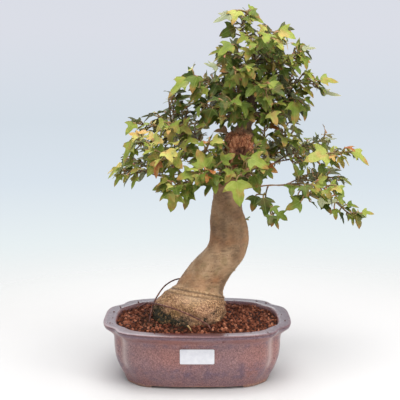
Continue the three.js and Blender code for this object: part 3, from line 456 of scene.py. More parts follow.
UNDERSIDE_SHARES = (0.05, 0.2, 0.35, 0.45, 0.5, 0.54, 0.58, 0.62, 0.66, 0.7, 0.74, 0.78, 0.82, 0.86, 0.9,
                    0.94, 0.97, 0.99)
pot_rings = [underside_ring(share) for share in UNDERSIDE_SHARES]
for index, row in enumerate(outside):
    ring = plan_ring(*row)
    lifted = underside_ring(1)[:, 2]
    ring[:, 2] = np.maximum(ring[:, 2], np.minimum(lifted, FOOT_HEIGHT) + 0.02 * index)
    pot_rings.append(ring)
pot_rings += [plan_ring(*row) for row in [*over_rim, *inside]]
pot_rings += [plan_ring(*POT_INSIDE[-1], share) for share in (0.9, 0.7, 0.5, 0.3, 0.05)]
pot_points, pot_faces = ring_skin(pot_rings)

# The hand-made wall wanders a little, by less than half a millimetre
for index, spot in enumerate(pot_points):
    if 8 < spot[2] < 74:
        wander = noise.noise(Vector(spot / 38)) * 0.45
        pot_points[index, :2] += wander * spot[:2] / np.linalg.norm(spot[:2])
print("pot", len(pot_points), "points")


# %% [markdown]
# The glaze is glossy and thick, a mauve that breaks to rust where it ran thin over the wall, to
# slate blue at the rim's edges and low on the body, with fine dark specks of iron. A clear coat over
# a mottled colour gives that depth. The feet and the lowest few millimetres were wiped clean before
# the firing, so they show bare brown clay. How thin the glaze lies is stored on the points, because
# it depends on the profile. Also stored there are a painted highlight down beside each corner groove
# and a thin painted shade just under the rim's top edge.

# %% Glaze
glaze = Finish("mauve_glaze", Roughness=0.42, Coat_Weight=0.35, Coat_Roughness=0.12)
middling = glaze.grain(17, detail=6, roughness=0.68)
fine = glaze.grain(1.9, detail=5, roughness=0.75)
mauve = glaze.ramp(fine, [
    (0.30, 88, 60, 64), (0.46, 122, 88, 89), (0.58, 148, 111, 109), (0.72, 170, 136, 132)])
rust = glaze.ramp(fine, [
    (0.30, 94, 58, 56), (0.48, 134, 87, 81), (0.60, 164, 115, 105), (0.74, 182, 141, 131)])
slate = glaze.ramp(fine, [
    (0.30, 62, 46, 62), (0.50, 93, 73, 90), (0.66, 119, 99, 114), (0.78, 144, 126, 138)])
rim_slate = glaze.ramp(fine, [
    (0.30, 54, 36, 44), (0.48, 79, 57, 64), (0.62, 100, 76, 83), (0.76, 119, 96, 101)])
clay = glaze.ramp(glaze.grain(2.2), [(0.35, 120, 84, 72), (0.65, 168, 128, 108)])
cloudy = glaze.between(middling, 0.40, 0.62, 0.15, 1.0)
specks = glaze.times(glaze.between(glaze.cells(4.2), 0.13, 0.08), glaze.between(glaze.grain(11), 0.54, 0.60))
glaze.colour(glaze.coats(
    mauve,
    (glaze.between(glaze.grain(60, detail=2), 0.40, 0.66), rust),
    (glaze.times(glaze.stored("low_band"), glaze.times(cloudy, 0.8)), slate),
    (glaze.times(glaze.between(middling, 0.56, 0.70), 0.55), slate),
    (glaze.stored("edge", 0.75), slate),
    # painted highlight down beside each corner groove
    (glaze.stored("groove", 0.6), (186, 164, 156)),
    # painted shade just under the rim's top edge
    (glaze.stored("dark_edge", 0.85), (66, 38, 46)),
    (glaze.stored("rim_top"), glaze.coats(rim_slate, (glaze.stored("dusty", 0.75), (84, 46, 40)))),
    (glaze.stored("red_run"), (76, 20, 26)),
    (specks, (36, 22, 26)),
    (glaze.times(glaze.stored("foot_band"), glaze.between(glaze.cells(2.6), 0.26, 0.16)), (44, 24, 20)),
    (glaze.stored("bare_clay"), clay)))
glaze.roughness(glaze.maths("ADD", glaze.between(middling, 0.3, 0.7, 0.26, 0.42),
                            glaze.stored("bare_clay", 0.4)))
glaze.relief((glaze.grain(9, detail=2), 0.35), (glaze.grain(2.4, detail=3), 0.08))
print("glaze", len(glaze.tree.nodes), "nodes")

# %% Pot piece
heights, pot_front = pot_points[:, 2], pot_points[:, 1]
turn_of = np.arctan2(pot_front, pot_points[:, 0])
out_by = np.linalg.norm(pot_points[:, :2], axis=1) / plan_radius(turn_of, 0)
wobble = cloud(pot_points, 9)
groove_turn = folded_angle(turn_of) - CORNER_ANGLE - 0.3
pot_values = {
    "edge": np.clip(bell(heights, 75.5, 2.4) * smooth_step(out_by, 0.93, 0.97)
                    + 0.7 * bell(heights, 78.5, 1.5) * (1 - smooth_step(out_by, 0.83, 0.87))
                    + 0.8 * bell(heights, 62, 3.5) * (0.5 + wobble), 0, 1),
    "rim_top": smooth_step(heights, 78.2, 78.9) * smooth_step(out_by, 0.82, 0.85)
    * (1 - 0.4 * smooth_step(out_by, 0.96, 0.99)),
    # The front part of the rim's flat is darker red brown
    "dusty": smooth_step(heights, 76, 78.6) * smooth_step(pot_front, -40, -72)
    * smooth_step(out_by, 0.965, 0.90) * np.clip(0.8 + 0.6 * wobble, 0, 1),
    "low_band": bell(heights - 22 - 8 * wobble, 0, 14),
    "red_run": smooth_step(pot_front, -74, -78) * smooth_step(heights, 76, 78.6)
    * bell(pot_points[:, 0], -27, 14.5, 6) * smooth_step(out_by, 0.945, 0.91),
    "foot_band": bell(heights, 8, 4) * np.clip(0.55 + 1.2 * wobble, 0, 1),
    # Painted highlight: a pale streak down the wall beside each corner groove
    "groove": bell(groove_turn, 0, 2.2) * smooth_step(heights, 18, 30)
    * (1 - smooth_step(heights, 66, 71)) * smooth_step(out_by, 0.7, 0.8),
    # Painted shade: a thin dark line just under the rim's top outer edge
    "dark_edge": bell(heights, 77.4, 0.8) * smooth_step(out_by, 0.96, 0.985),
    "bare_clay": 1 - smooth_step(heights, 2.2 + 1.6 * wobble, 4.4 + 1.6 * wobble),
}
pot = as_object("glazed_pot", as_mesh("glazed_pot", pot_points, pot_faces, glaze, pot_values))


# %% Drainage holes
def drill(x):
    """A round plug where a drainage hole goes through the floor."""
    turn = np.arange(40) * 2 * np.pi / 40
    rings = [np.stack([x + DRAIN_HOLE_RADIUS * np.cos(turn), DRAIN_HOLE_RADIUS * np.sin(turn),
                       np.full(40, float(z))], 1) for z in (-5, 20)]
    return as_object("drill", as_mesh("drill", *ring_skin(rings), None))


for x in (-DRAIN_HOLE_X, DRAIN_HOLE_X):
    plug = drill(x)
    cut = pot.modifiers.new("hole", "BOOLEAN")
    cut.object, cut.operation, cut.solver = plug, "DIFFERENCE", "EXACT"
    bake_modifiers(pot)
    bpy.data.objects.remove(plug)
finished(pot, "glaze", "pot")


# Under each hole lies a little plastic screen, woven as in the construction model
plastic = Finish("screen_plastic", Roughness=0.5)
plastic.colour(plastic.ramp(plastic.grain(3), [(0.35, 28, 34, 30), (0.7, 48, 56, 50)]))
for node in ("drain_screen_left", "drain_screen_right"):
    bpy.data.objects[node].material_slots[0].material = plastic.material


# %% [markdown]
# ## The label
# A blank paper sticker with rounded corners lies on the front wall. It is a thin slab whose outline
# follows the rounded rectangle and whose front edge is eased, tilted to the slope of the wall.

# %% Label
LABEL_LENGTH = 44
LABEL_HEIGHT = 20
LABEL_THICKNESS = 0.7
LABEL_MIDDLE = 48.5
LABEL_CORNER = 1.8
LABEL_GAP = 0.3


def rounded_outline(length, height, corner, shrink):
    outline = []
    for quarter, (sx, sy) in enumerate(((1, 1), (-1, 1), (-1, -1), (1, -1))):
        for step in range(9):
            turn = (quarter + step / 8) * math.pi / 2
            outline.append((sx * (length / 2 - corner) + (corner - shrink) * math.cos(turn),
                            sy * (height / 2 - corner) + (corner - shrink) * math.sin(turn)))
    return np.array(outline)


(low_height, low_inset, _), (high_height, high_inset, _) = POT_OUTSIDE[3], POT_OUTSIDE[4]
label_lean = math.atan2(low_inset - high_inset, high_height - low_height)
label_inset = low_inset + (high_inset - low_inset) * (LABEL_MIDDLE - low_height) / (high_height - low_height)
label_rings = []
for shrink, depth in ((0, 0), (0, 0.5), (0.12, 0.66), (0.35, LABEL_THICKNESS)):
    flat = rounded_outline(LABEL_LENGTH, LABEL_HEIGHT, LABEL_CORNER, shrink)
    ring = np.stack([flat[:, 0], np.full(len(flat), -float(depth)), flat[:, 1]], 1)
    label_rings.append(ring[::-1])
label_points, label_faces = ring_skin(label_rings[::-1])
tilt = np.array(Matrix.Rotation(label_lean, 3, "X"))
label_points = label_points @ tilt.T
label_points += [0, -(RIM_HALF_WIDTH - label_inset) - LABEL_GAP, LABEL_MIDDLE]
paper = Finish("blank_paper", Roughness=0.45)
paper.colour(paper.ramp(paper.grain(7, detail=4), [(0.35, 214, 214, 218), (0.7, 228, 228, 230)]))
paper.relief((paper.grain(0.8, detail=3), 0.03))
label = as_object("paper_label", as_mesh("paper_label", label_points, label_faces, paper, smooth=False))
finished(label, "label", "label")


# %% [markdown]
# ## A small language for Geometry Nodes
# Wires, limbs, stems, leaves, moss and grains of soil all repeat or follow something, which is what
# Geometry Nodes are good at. Each recipe is one node tree with named sizes, and `made_by` runs it
# once on a mesh, keeps the result as a plain mesh and takes the modifier away again.

# %% Recipes
class Recipe(Graph):
    """A Geometry Nodes tree with named sizes and one geometry going in and out."""
    family = "GeometryNode"

    def __init__(self, name, **sizes):
        self.tree = bpy.data.node_groups.new(name, "GeometryNodeTree")
        self.keys = {}
        for way in ("INPUT", "OUTPUT"):
            self.tree.interface.new_socket("Geometry", in_out=way, socket_type="NodeSocketGeometry")
        for label, value in sizes.items():
            kind = "NodeSocketInt" if isinstance(value, int) else "NodeSocketFloat"
            socket = self.tree.interface.new_socket(label, in_out="INPUT", socket_type=kind)
            socket.default_value = value
            self.keys[label] = socket.identifier
        self.source = self.tree.nodes.new("NodeGroupInput")
        self.given = self.source.outputs["Geometry"]

    def size(self, label):
        return self.source.outputs[label]

    def stored(self, label, kind="FLOAT"):
        return self.add("InputNamedAttribute", {"Name": label}, data_type=kind).outputs["Attribute"]

    def set_on(self, points, box, which, scale, **more):
        """Each point carries the piece of the box that has its number."""
        pieces = self.add("CollectionInfo", {"Collection": box, "Separate Children": True,
                                             "Reset Children": True}).outputs[0]
        return self.add("InstanceOnPoints", {"Points": points, "Instance": pieces, "Pick Instance": True,
                                             "Instance Index": which, "Scale": scale, **more}).outputs[0]

    def tubes(self, paths):
        """Round tubes over every path of edges, as thick as the value stored on its points."""
        curve = self.add("MeshToCurve", {"Mesh": paths}).outputs[0]
        thick = self.add("SetCurveRadius", {"Curve": curve, "Radius": self.stored("thick")}).outputs[0]
        circle = self.add("CurvePrimitiveCircle", {
            "Resolution": self.size("Sides"), "Radius": 0.001}).outputs[0]
        tube = self.add("CurveToMesh", {"Curve": thick, "Profile Curve": circle, "Fill Caps": True}).outputs[0]
        return self.add("SetShadeSmooth", {"Geometry": tube}).outputs[0]

    def dressed(self, geometry, finish):
        real = self.add("RealizeInstances", {"Geometry": geometry}).outputs[0]
        return self.add("SetMaterial", {"Geometry": real, "Material": finish.material}).outputs[0]

    def result(self, *parts):
        """All the parts together come out of the recipe."""
        whole = self.add("JoinGeometry")
        for part in reversed(parts):
            self.feed(whole.inputs[0], part)
        self.feed(self.tree.nodes.new("NodeGroupOutput").inputs[0], whole.outputs[0])


def tube_recipe(name, finish, sides):
    recipe = Recipe(name, Sides=sides)
    recipe.result(recipe.dressed(recipe.tubes(recipe.given), finish))
    return recipe


def made_by(recipe, piece, **sizes):
    """Run a recipe once on this object and keep the outcome as its plain mesh."""
    modifier = piece.modifiers.new(recipe.tree.name, "NODES")
    modifier.node_group = recipe.tree
    for label, value in sizes.items():
        modifier[recipe.keys[label]] = value
    return bake_modifiers(piece)


def points_mesh(name, places, edges=(), stored=None, turns=None, variants=None):
    """Bare points, joined by edges where they form paths, with the values a recipe reads."""
    mesh = bpy.data.meshes.new(name)
    mesh.from_pydata(to_metres(places).tolist(), list(edges), [])
    for key, values in (stored or {}).items():
        store(mesh, key, values)
    if turns is not None:
        store(mesh, "turn", turns, "QUATERNION")
    if variants is not None:
        store(mesh, "variant", variants, "INT", as_type=np.int32)
    return mesh


def chain(first, end):
    """Edges that join the points from the first on, one after another."""
    return [(index, index + 1) for index in range(first, end - 1)]


def path_mesh(name, rows, radii):
    return points_mesh(name, rows, chain(0, len(rows)), {"thick": radii})


def empty_box(box):
    for piece in list(box.objects):
        bpy.data.objects.remove(piece)
    bpy.data.collections.remove(box)


# %% [markdown]
# ## The tie wires
# Two lengths of brown aluminium wire hold the young roots down. They are stiff, formed wires whose
# ends go into the soil. A row of points along each route becomes a curve, and a circle is drawn
# along it, as thick as the value on the points says.

# %% Wires
WIRE_RADIUS = 1.3
WIRES = {
    "tie_wire_arch": [
        (-64, -27, 66), (-63.5, -25, 80), (-59.5, -13, 97), (-53, -3, 109), (-42.5, 9, 120),
        (-26, 22, 125), (-6, 36, 120), (14, 44, 106), (29, 48, 88), (35, 49, 68)],
    "tie_wire_diagonal": [
        (-86, 33, 66), (-82, 29, 81), (-68, 4, 96), (-63.5, -9, 99), (-55, -21, 101.5),
        (-36, -41, 102.5), (-13, -52, 97), (6, -55, 88), (16, -55.5, 80), (20, -56, 68)],
}

wire_finish = Finish("brown_wire", Metallic=0.15, Roughness=0.45)
wire_finish.colour(wire_finish.ramp(wire_finish.grain(5, detail=5), [
    (0.3, 54, 29, 24), (0.5, 96, 56, 45), (0.7, 150, 102, 86)]))
wire_finish.relief((wire_finish.grain(1.5, detail=3), 0.05))
wire_recipe = tube_recipe("wire_along_route", wire_finish, 16)
for node, route in WIRES.items():
    rows = along_path(route, 9)
    mesh = path_mesh(node, rows, np.full(len(rows), WIRE_RADIUS))
    wire = as_object(node.replace("tie_wire", "wire"), mesh)
    finished(made_by(wire_recipe, wire), "wire", node)


# %% [markdown]
# ## The soil
# The tree grows in akadama, a hard-baked clay broken to grains of four to eight millimetres. A mound
# of the drawn shape carries one layer of real grains: Geometry Nodes scatter points over its top at
# a least distance, so that no two grains share a place, and set one of seven broken lumps on each,
# turned and sized by chance from a fixed seed. Only the top needs grains; below it the mound is plain.

# %% Mound
SOIL_EDGE = 75
SOIL_RISE = 15
SOIL_SIDE_GAP = 0.45
MOUND_STEPS = 200
TOP_RINGS = 44


def mound_ring(height, share=1.0):
    _, inset, indent = wall_inside(height)
    return plan_ring(height, inset + SOIL_SIDE_GAP, indent, share, steps=MOUND_STEPS)


def from_burr(x, y):
    """How far out a place on the soil lies from the tree's foot, whose edge is at about 1."""
    return ((x + 11) / 45) ** 2 + ((y + 9.5) / 38) ** 2


def patch(x, y, half_length, half_width):
    """1 inside an oval patch on the soil, with a soft edge."""
    along, across = (mound_points[:, 0] - x) / half_length, (mound_points[:, 1] - y) / half_width
    return bell(np.hypot(along, across), 0, 1, 4)


mound_rings = [mound_ring(z) for z in (10.3, 14.2, 45, 68, SOIL_EDGE - 2)]
mound_rings.insert(0, mound_rings[0] * [0.05, 0.05, 1])
side_rings = len(mound_rings)
for share in np.linspace(0.985, 0.03, TOP_RINGS):
    ring = mound_ring(SOIL_EDGE, share)
    ring[:, 2] = SOIL_EDGE - 1.6 + SOIL_RISE * (1 - share) * 0.9
    ring[:, 2] += 0.9 * cloud(ring, 12) + 0.7 * cloud(ring, 4)
    mound_rings.append(ring)
mound_points, mound_faces = ring_skin(mound_rings)
on_top = np.zeros(len(mound_points))
on_top[side_rings * MOUND_STEPS:] = 1
clear_of_tree = from_burr(mound_points[:, 0], mound_points[:, 1]) > 0.93
soil_moss = patch(-61, -8, 19, 38) + patch(-27, -55, 13, 8)
soil_moss = np.clip(soil_moss * smooth_step(cloud(mound_points, 9), -0.35, 0.0), 0, 1) * on_top
mound_values = {"open": on_top * clear_of_tree, "damp": soil_moss}
print("mound", len(mound_points), "points, moss over", round(float((soil_moss > 0.3).mean()) * 100, 1), "%")

# %% Soil finish
earth = Finish("baked_clay_grains", Roughness=0.92, Specular_IOR_Level=0.2)
dryness = earth.maths("ADD", earth.stored("tint"), earth.between(earth.grain(3, detail=4), 0.3, 0.7, -0.2, 0.2))
brick = earth.ramp(dryness, [
    (0.0, 44, 22, 15), (0.25, 80, 43, 29), (0.6, 118, 69, 50), (0.85, 148, 91, 68), (1.0, 180, 122, 94)])
earth.colour(earth.coats(brick, (earth.stored("damp", 0.7), (36, 27, 19))))
earth.relief((earth.grain(1.2, detail=4, roughness=0.7), 0.25))


# %% Lumps of clay
def lump_box(name, kinds, corners, flatness, seed):
    """An unlinked collection of broken lumps about one unit across."""
    luck = dice(seed)
    box = bpy.data.collections.new(name)
    for kind in range(kinds):
        shape = bmesh.new()
        for _ in range(corners):
            spot = Vector((next(luck) - 0.5, next(luck) - 0.5, next(luck) - 0.5)).normalized()
            shape.verts.new(spot * (0.42 + 0.12 * next(luck)) * Vector((1, 0.85, flatness)))
        bmesh.ops.convex_hull(shape, input=shape.verts)
        loose = [corner for corner in shape.verts if not corner.link_faces]
        bmesh.ops.delete(shape, geom=loose, context="VERTS")
        bmesh.ops.recalc_face_normals(shape, faces=shape.faces)
        mesh = bpy.data.meshes.new(f"{name}_{kind}")
        shape.to_mesh(mesh)
        shape.free()
        box.objects.link(bpy.data.objects.new(f"{name}_{kind}", mesh))
    return box


GRAIN_KINDS = 7
grain_box = lump_box("grain", GRAIN_KINDS, 15, 0.8, 31)


# %% Recipe of scattered lumps
FULL_TURN = (6.283, 6.283, 6.283)


def scattering(name, box, where, finish, under_finish=None, **sizes):
    """A recipe that strews lumps over a surface, where the named value allows it."""
    recipe = Recipe(name, **sizes)
    seed = recipe.size("Seed")

    def chance(kind, low, high, shift=0):
        """A random value for each lump; every kind of value has its own inputs and output."""
        slot = ("FLOAT_VECTOR", "FLOAT", "INT").index(kind)
        own_seed = recipe.maths("ADD", seed, shift)
        return recipe.add("FunctionNodeRandomValue", {2 * slot: low, 2 * slot + 1: high, "Seed": own_seed},
                          data_type=kind).outputs[slot]

    strewn = recipe.add("DistributePointsOnFaces", {
        "Mesh": recipe.given, "Distance Min": recipe.size("Spacing"), "Density Max": recipe.size("Density"),
        "Density Factor": recipe.stored(where), "Seed": seed}, distribute_method="POISSON").outputs[0]
    tinted = recipe.add("StoreNamedAttribute", {
        "Geometry": strewn, "Name": "tint", "Value": chance("FLOAT", 0.1, 0.9, 3)}).outputs[0]
    lumps = recipe.set_on(tinted, box, chance("INT", 0, len(box.objects) - 1),
                          chance("FLOAT", recipe.size("Smallest"), recipe.size("Largest"), 5),
                          Rotation=chance("FLOAT_VECTOR", (0, 0, 0), FULL_TURN))
    parts = [recipe.dressed(lumps, finish)]
    if under_finish is not None:
        parts.append(recipe.dressed(recipe.given, under_finish))
    recipe.result(*parts)
    return recipe


soil_recipe = scattering("strewn_soil", grain_box, "open", earth, earth, Spacing=0.0039, Density=120000.0,
                         Seed=3, Smallest=0.0047, Largest=0.0076)
mound_mesh = as_mesh("mound", mound_points, mound_faces, None, mound_values)
finished(made_by(soil_recipe, as_object("soil_bed", mound_mesh)), "soil", "soil")

# %% [markdown]
# A few grains have rolled onto the rim and lie there, and a bit of straw is stuck in the soil. The
# grains' places are drawn from dice with a seed of their own, in a band over the flat of the rim.

# %% Crumbs on the rim
CRUMB_COUNT = 34

crumb_recipe = Recipe("placed_crumbs")
crumb_recipe.result(crumb_recipe.dressed(crumb_recipe.set_on(
    crumb_recipe.given, grain_box, crumb_recipe.stored("variant", "INT"), crumb_recipe.stored("size")), earth))
crumb_luck = dice(12)
crumb_places, crumb_sizes = [], []
for _ in range(CRUMB_COUNT):
    turn = next(crumb_luck) * 2 * math.pi
    inset = 2 + 12.5 * next(crumb_luck) ** 0.6
    size = 1.1 + 1.9 * next(crumb_luck) ** 2
    reach = float(plan_radius(np.array([turn]), inset, 7 - 0.25 * inset)[0])
    crumb_places.append((reach * math.cos(turn), reach * math.sin(turn), POT_HEIGHT + 0.30 * size))
    crumb_sizes.append(size / 1000)
crumbs = as_object("crumbs", points_mesh(
    "crumbs", crumb_places, stored={"size": crumb_sizes, "tint": [0.35] * CRUMB_COUNT},
    variants=[index % GRAIN_KINDS for index in range(CRUMB_COUNT)]))
finished(made_by(crumb_recipe, crumbs), "soil")
empty_box(grain_box)

dry_straw = Finish("dry_straw", Roughness=0.6)
dry_straw.colour(dry_straw.ramp(dry_straw.grain(3), [(0.3, 176, 136, 82), (0.7, 222, 190, 134)]))
straw_rows = along_path([(-7, -57, 73, 0.5), (-9.2, -60, 79.5, 0.6), (-12, -62, 84, 0.55)], 5)
straw = as_object("straw", path_mesh("straw", straw_rows[:, :3], straw_rows[:, 3]))
finished(made_by(tube_recipe("bit_of_straw", dry_straw, 8), straw), "soil")


# %% [markdown]
# ## The trunk
# The tree is a young stem grafted high on an old stump. The stump swelled into a corky burr, the stem
# above it leans and straightens, and near its top an old cut has healed into a rusty knob with a
# hollow. It is a skin over level rings, the same rows as in the construction model, but with eleven
# rings to every row and fine relief pushed out along the way. What the bark looks like changes from
# place to place, so each zone is stored on the points for the finish to read.

# %% Rows of the trunk
# Left edge x and z, right edge x and z, front y, back y, and how much higher the front lies
TRUNK_RINGS = [
    (-34, 44, 16, 44, -30, 20, 0), (-48, 58, 27, 58, -42, 26, 0), (-56, 71, 33, 71, -49, 30, 0),
    (-58.5, 82, 36.5, 81, -50, 31, 0), (-58.5, 91, 38.5, 89, -48, 31, 0), (-55.5, 100, 39, 95.5, -46, 30, 2),
    (-49, 108, 38, 99.5, -43, 29, 6), (-41, 115, 36, 102.5, -38.5, 28, 12),
    (-32.5, 120, 36, 105.5, -32.5, 27, 18), (-29, 123, 34.5, 109, -29, 25, 18),
    (-26.5, 128, 35.5, 116, -27, 24, 15), (-22, 134, 39.5, 125, -26, 24, 11), (-16, 142, 46, 136, -25, 24, 7),
    (-7, 154, 55, 148, -25, 24, 4), (4, 166, 63, 160, -25, 24, 2), (12, 174, 67, 171, -25, 24, 0),
    (16, 184, 68.8, 183, -24.5, 23.5, 0), (17.6, 198, 67.9, 198, -24, 23, 0),
    (17.6, 211, 65, 211, -22.5, 22, 0), (19.6, 229, 60.4, 229, -20.5, 20, 0),
    (21.5, 246, 61.5, 246, -20, 20, 0), (20.5, 259, 65, 259, -21, 21, 0), (22, 268, 70, 266, -22.5, 21.5, 0),
    (29, 277, 71.5, 276, -21, 20, 0), (31.5, 287, 73, 287, -21, 19.5, 0), (32, 297, 74, 297, -21.5, 19.5, 0),
    (32.5, 307, 74.5, 307, -21, 19, 0), (35, 316, 74, 316, -19.5, 18, 0), (39.5, 324, 73.3, 324, -16.5, 16, 0),
    (45.5, 330, 72.2, 330, -13.5, 13, 0), (51.5, 337, 71.5, 336, -10.5, 10.5, 0),
    (57, 347, 74.5, 345, -8.6, 8.8, 0), (63.7, 362, 78.3, 361, -7, 7.5, 0),
]
LEADER = [(74, 2, 387), (74, 0, 411), (73, -2, 431)]
LEADER_RADII = [5.6, 3.2, 2.4]
COLLAR_RING = 8
# Middle and width of the groove between the graft's two lips, counted in rows from the collar's
COLLAR_GROOVE = (-0.28, 0.12)
WOUND_HOLLOW = np.array([51, -22, 304])
TRUNK_STEPS = 11
TRUNK_AROUND = 168

leader_rows = [(x - r, z, x + r, z, y - r, y + r, 0) for (x, y, z), r in zip(LEADER, LEADER_RADII)]
trunk_rows = along_path(TRUNK_RINGS + leader_rows, TRUNK_STEPS)
ring_number = np.arange(len(trunk_rows)) / TRUNK_STEPS
print("trunk", len(trunk_rows), "rings of", TRUNK_AROUND)


# %% Forms that the construction model has too
def collar_lips(turn, from_collar):
    """The two rolled lips of bark round the graft, with a groove between them."""
    upper = bell(from_collar - 0.1 - 0.12 * np.sin(turn * 2), 0, 0.17)
    lower = 0.9 * bell(from_collar + 0.62 + 0.1 * np.sin(turn * 3 + 1), 0, 0.15)
    return upper + lower - 0.7 * bell(from_collar, *COLLAR_GROOVE)


def trunk_swell(turn, number, height):
    """Share by which the ring stands out: lumps on the burr, the graft's collar, ribs above."""
    burr = 0.022 * np.sin(3 * turn + number) + 0.018 * np.sin(7 * turn + 2.3 * number)
    ribs = 0.012 * np.sin(2 * turn + 0.4 * number) + 0.012 * np.sin(5 * turn + 0.9 * number)
    above = smooth_step(height, 100, 108)
    shape = burr * (1 - above) + ribs * above
    near_collar = bell(number, COLLAR_RING, 0.8, 4)
    return shape * (1 - near_collar) + 0.02 * near_collar + 0.03 * collar_lips(turn, number - COLLAR_RING)


def trunk_skin():
    turn = np.arange(TRUNK_AROUND) * 2 * np.pi / TRUNK_AROUND
    rings, numbers = [], []
    for number, row in zip(ring_number, trunk_rows):
        left_x, left_z, right_x, right_z, front_y, back_y, front_lift = row
        middle = np.array([(left_x + right_x) / 2, (front_y + back_y) / 2, (left_z + right_z) / 2])
        swell = 1 + trunk_swell(turn, number, middle[2]) * (1 - smooth_step(middle[2], 355, 385))
        ring = np.stack([
            middle[0] + (right_x - left_x) / 2 * swell * np.cos(turn),
            middle[1] + (back_y - front_y) / 2 * swell * np.sin(turn),
            middle[2] + (right_z - left_z) / 2 * np.cos(turn) - front_lift / 2 * np.sin(turn)], 1)
        distance = np.linalg.norm(ring - WOUND_HOLLOW, axis=1)
        hollow = 5.5 * bell(distance, 0, 8) - 1.6 * bell(distance, 17, 5)
        inward = (middle - ring) * [1, 1, 0]
        inward /= np.linalg.norm(inward, axis=1)[:, None] + 1e-9
        rings.append(ring + inward * hollow[:, None])
        numbers.append(np.full(TRUNK_AROUND, number))
    return np.array(rings), np.array(numbers)


trunk_rings, trunk_numbers = trunk_skin()
print("trunk stands", round(trunk_rings[..., 2].min()), "to", round(trunk_rings[..., 2].max()), "mm")


# %% Outward direction at every point
def outward_of(rings):
    """Unit normals of a stack of rings, pointing out."""
    around = np.roll(rings, -1, axis=1) - np.roll(rings, 1, axis=1)
    up = np.gradient(rings, axis=0)
    normal = np.cross(around, up)
    return normal / (np.linalg.norm(normal, axis=2)[..., None] + 1e-9)


def pits(places, size, seed=0):
    """Distance to the nearest of scattered middles, as a share of their spacing."""
    flat = places.reshape(-1, 3) / size + seed * 11.7
    return np.array([noise.voronoi(Vector(spot))[0][0] for spot in flat]).reshape(places.shape[:-1])


outward = outward_of(trunk_rings)
height = trunk_rings[..., 2]
from_collar = trunk_numbers - COLLAR_RING
is_burr = 1 - smooth_step(trunk_numbers, COLLAR_RING - 1.1, COLLAR_RING - 0.5)
is_collar = bell(from_collar, -0.15, 0.75, 4)
from_wound = np.linalg.norm((trunk_rings - [53, -15, 306]) * [1, 0.75, 0.9], axis=2)
is_wound = 1 - smooth_step(from_wound + 5 * cloud(trunk_rings, 9), 21, 29)
print("burr covers", round(float(is_burr.mean()) * 100), "% of the rings")


# %% Bark relief
warts = np.clip(0.42 - pits(trunk_rings, 3.4), 0, 1) / 0.42
knobs = np.clip(0.5 - pits(trunk_rings, 13, 3), 0, 1) / 0.5
burr_relief = (0.8 * warts * (0.45 + 0.55 * cloud(trunk_rings, 16, 1, 2)) + 1.5 * knobs
               + 0.6 * cloud(trunk_rings, 2.4, 2, 5))
wrinkles = np.abs(cloud(trunk_rings * [0.5, 0.5, 1.4], 5.5, 3, 1))
slow = cloud(trunk_rings * [1, 1, 0.5], 22, 2, 4)
bark_relief = 1.1 * slow - 0.8 * wrinkles + 0.3 * cloud(trunk_rings, 1.8, 1, 8)
collar_relief = 0.5 * cloud(trunk_rings * [0.4, 0.4, 2.2], 5, 2, 6) + 0.3 * cloud(trunk_rings, 2.5, 2, 9)
cracks = np.clip(1 - np.abs(cloud(trunk_rings * [1, 1, 0.6], 9, 2, 7)) / 0.12, 0, 1)
wound_relief = (2.6 * cloud(trunk_rings * [1, 1, 0.45], 10, 3, 27) - 1.8 * cracks
                + 0.8 * cloud(trunk_rings, 3, 2, 15))
relief = burr_relief * is_burr + bark_relief * (1 - is_burr) * (1 - 0.8 * is_collar)
relief += collar_relief * is_collar * (1 - is_burr * 0.5)
relief = relief * (1 - is_wound) + wound_relief * is_wound
across_front = smooth_step(-outward[..., 1], -0.2, 0.5)
tilted = height - 0.16 * (trunk_rings[..., 0] - 50) + 2 * cloud(trunk_rings, 14, 1, 12)
for roll_height, roll_depth in ((276, 2.4), (289, 1.8), (312, 1.4), (322, 2.0)):
    relief += roll_depth * bell(tilted, roll_height, 2.8) * across_front
relief *= 1 - 0.75 * smooth_step(height, 345, 380)
trunk_fine = trunk_rings + outward * relief[..., None]
print("relief", round(float(relief.min()), 1), "to", round(float(relief.max()), 1), "mm")


# %% Bark zones
def near(middle, squash, reach, power=2):
    """1 at a place on the trunk, falling to nothing at the reach; a squashed axis reaches further."""
    return bell(np.linalg.norm((trunk_rings - middle) * squash, axis=2), 0, reach, power)


front_left = np.clip(-trunk_rings[..., 0] / 40, 0, 1)
low_on_burr = 1 - smooth_step(height, 88, 104)
mossy = smooth_step(cloud(trunk_rings, 13, 2, 21) + 0.75 * front_left * low_on_burr, 0.28, 0.55) * is_burr
moss_zone = np.clip(mossy * low_on_burr + near([-54, -28, 82], [1, 0.6, 0.8], 16, 4)
                    + near([-24, -46, 78], [0.9, 0.6, 1], 15, 4), 0, 1) * is_burr
reddish = near([24, -24, 134], [0.6, 0.5, 1.4], 7) + 0.5 * near([-16, -14, 137], [0.6, 0.4, 1], 7)
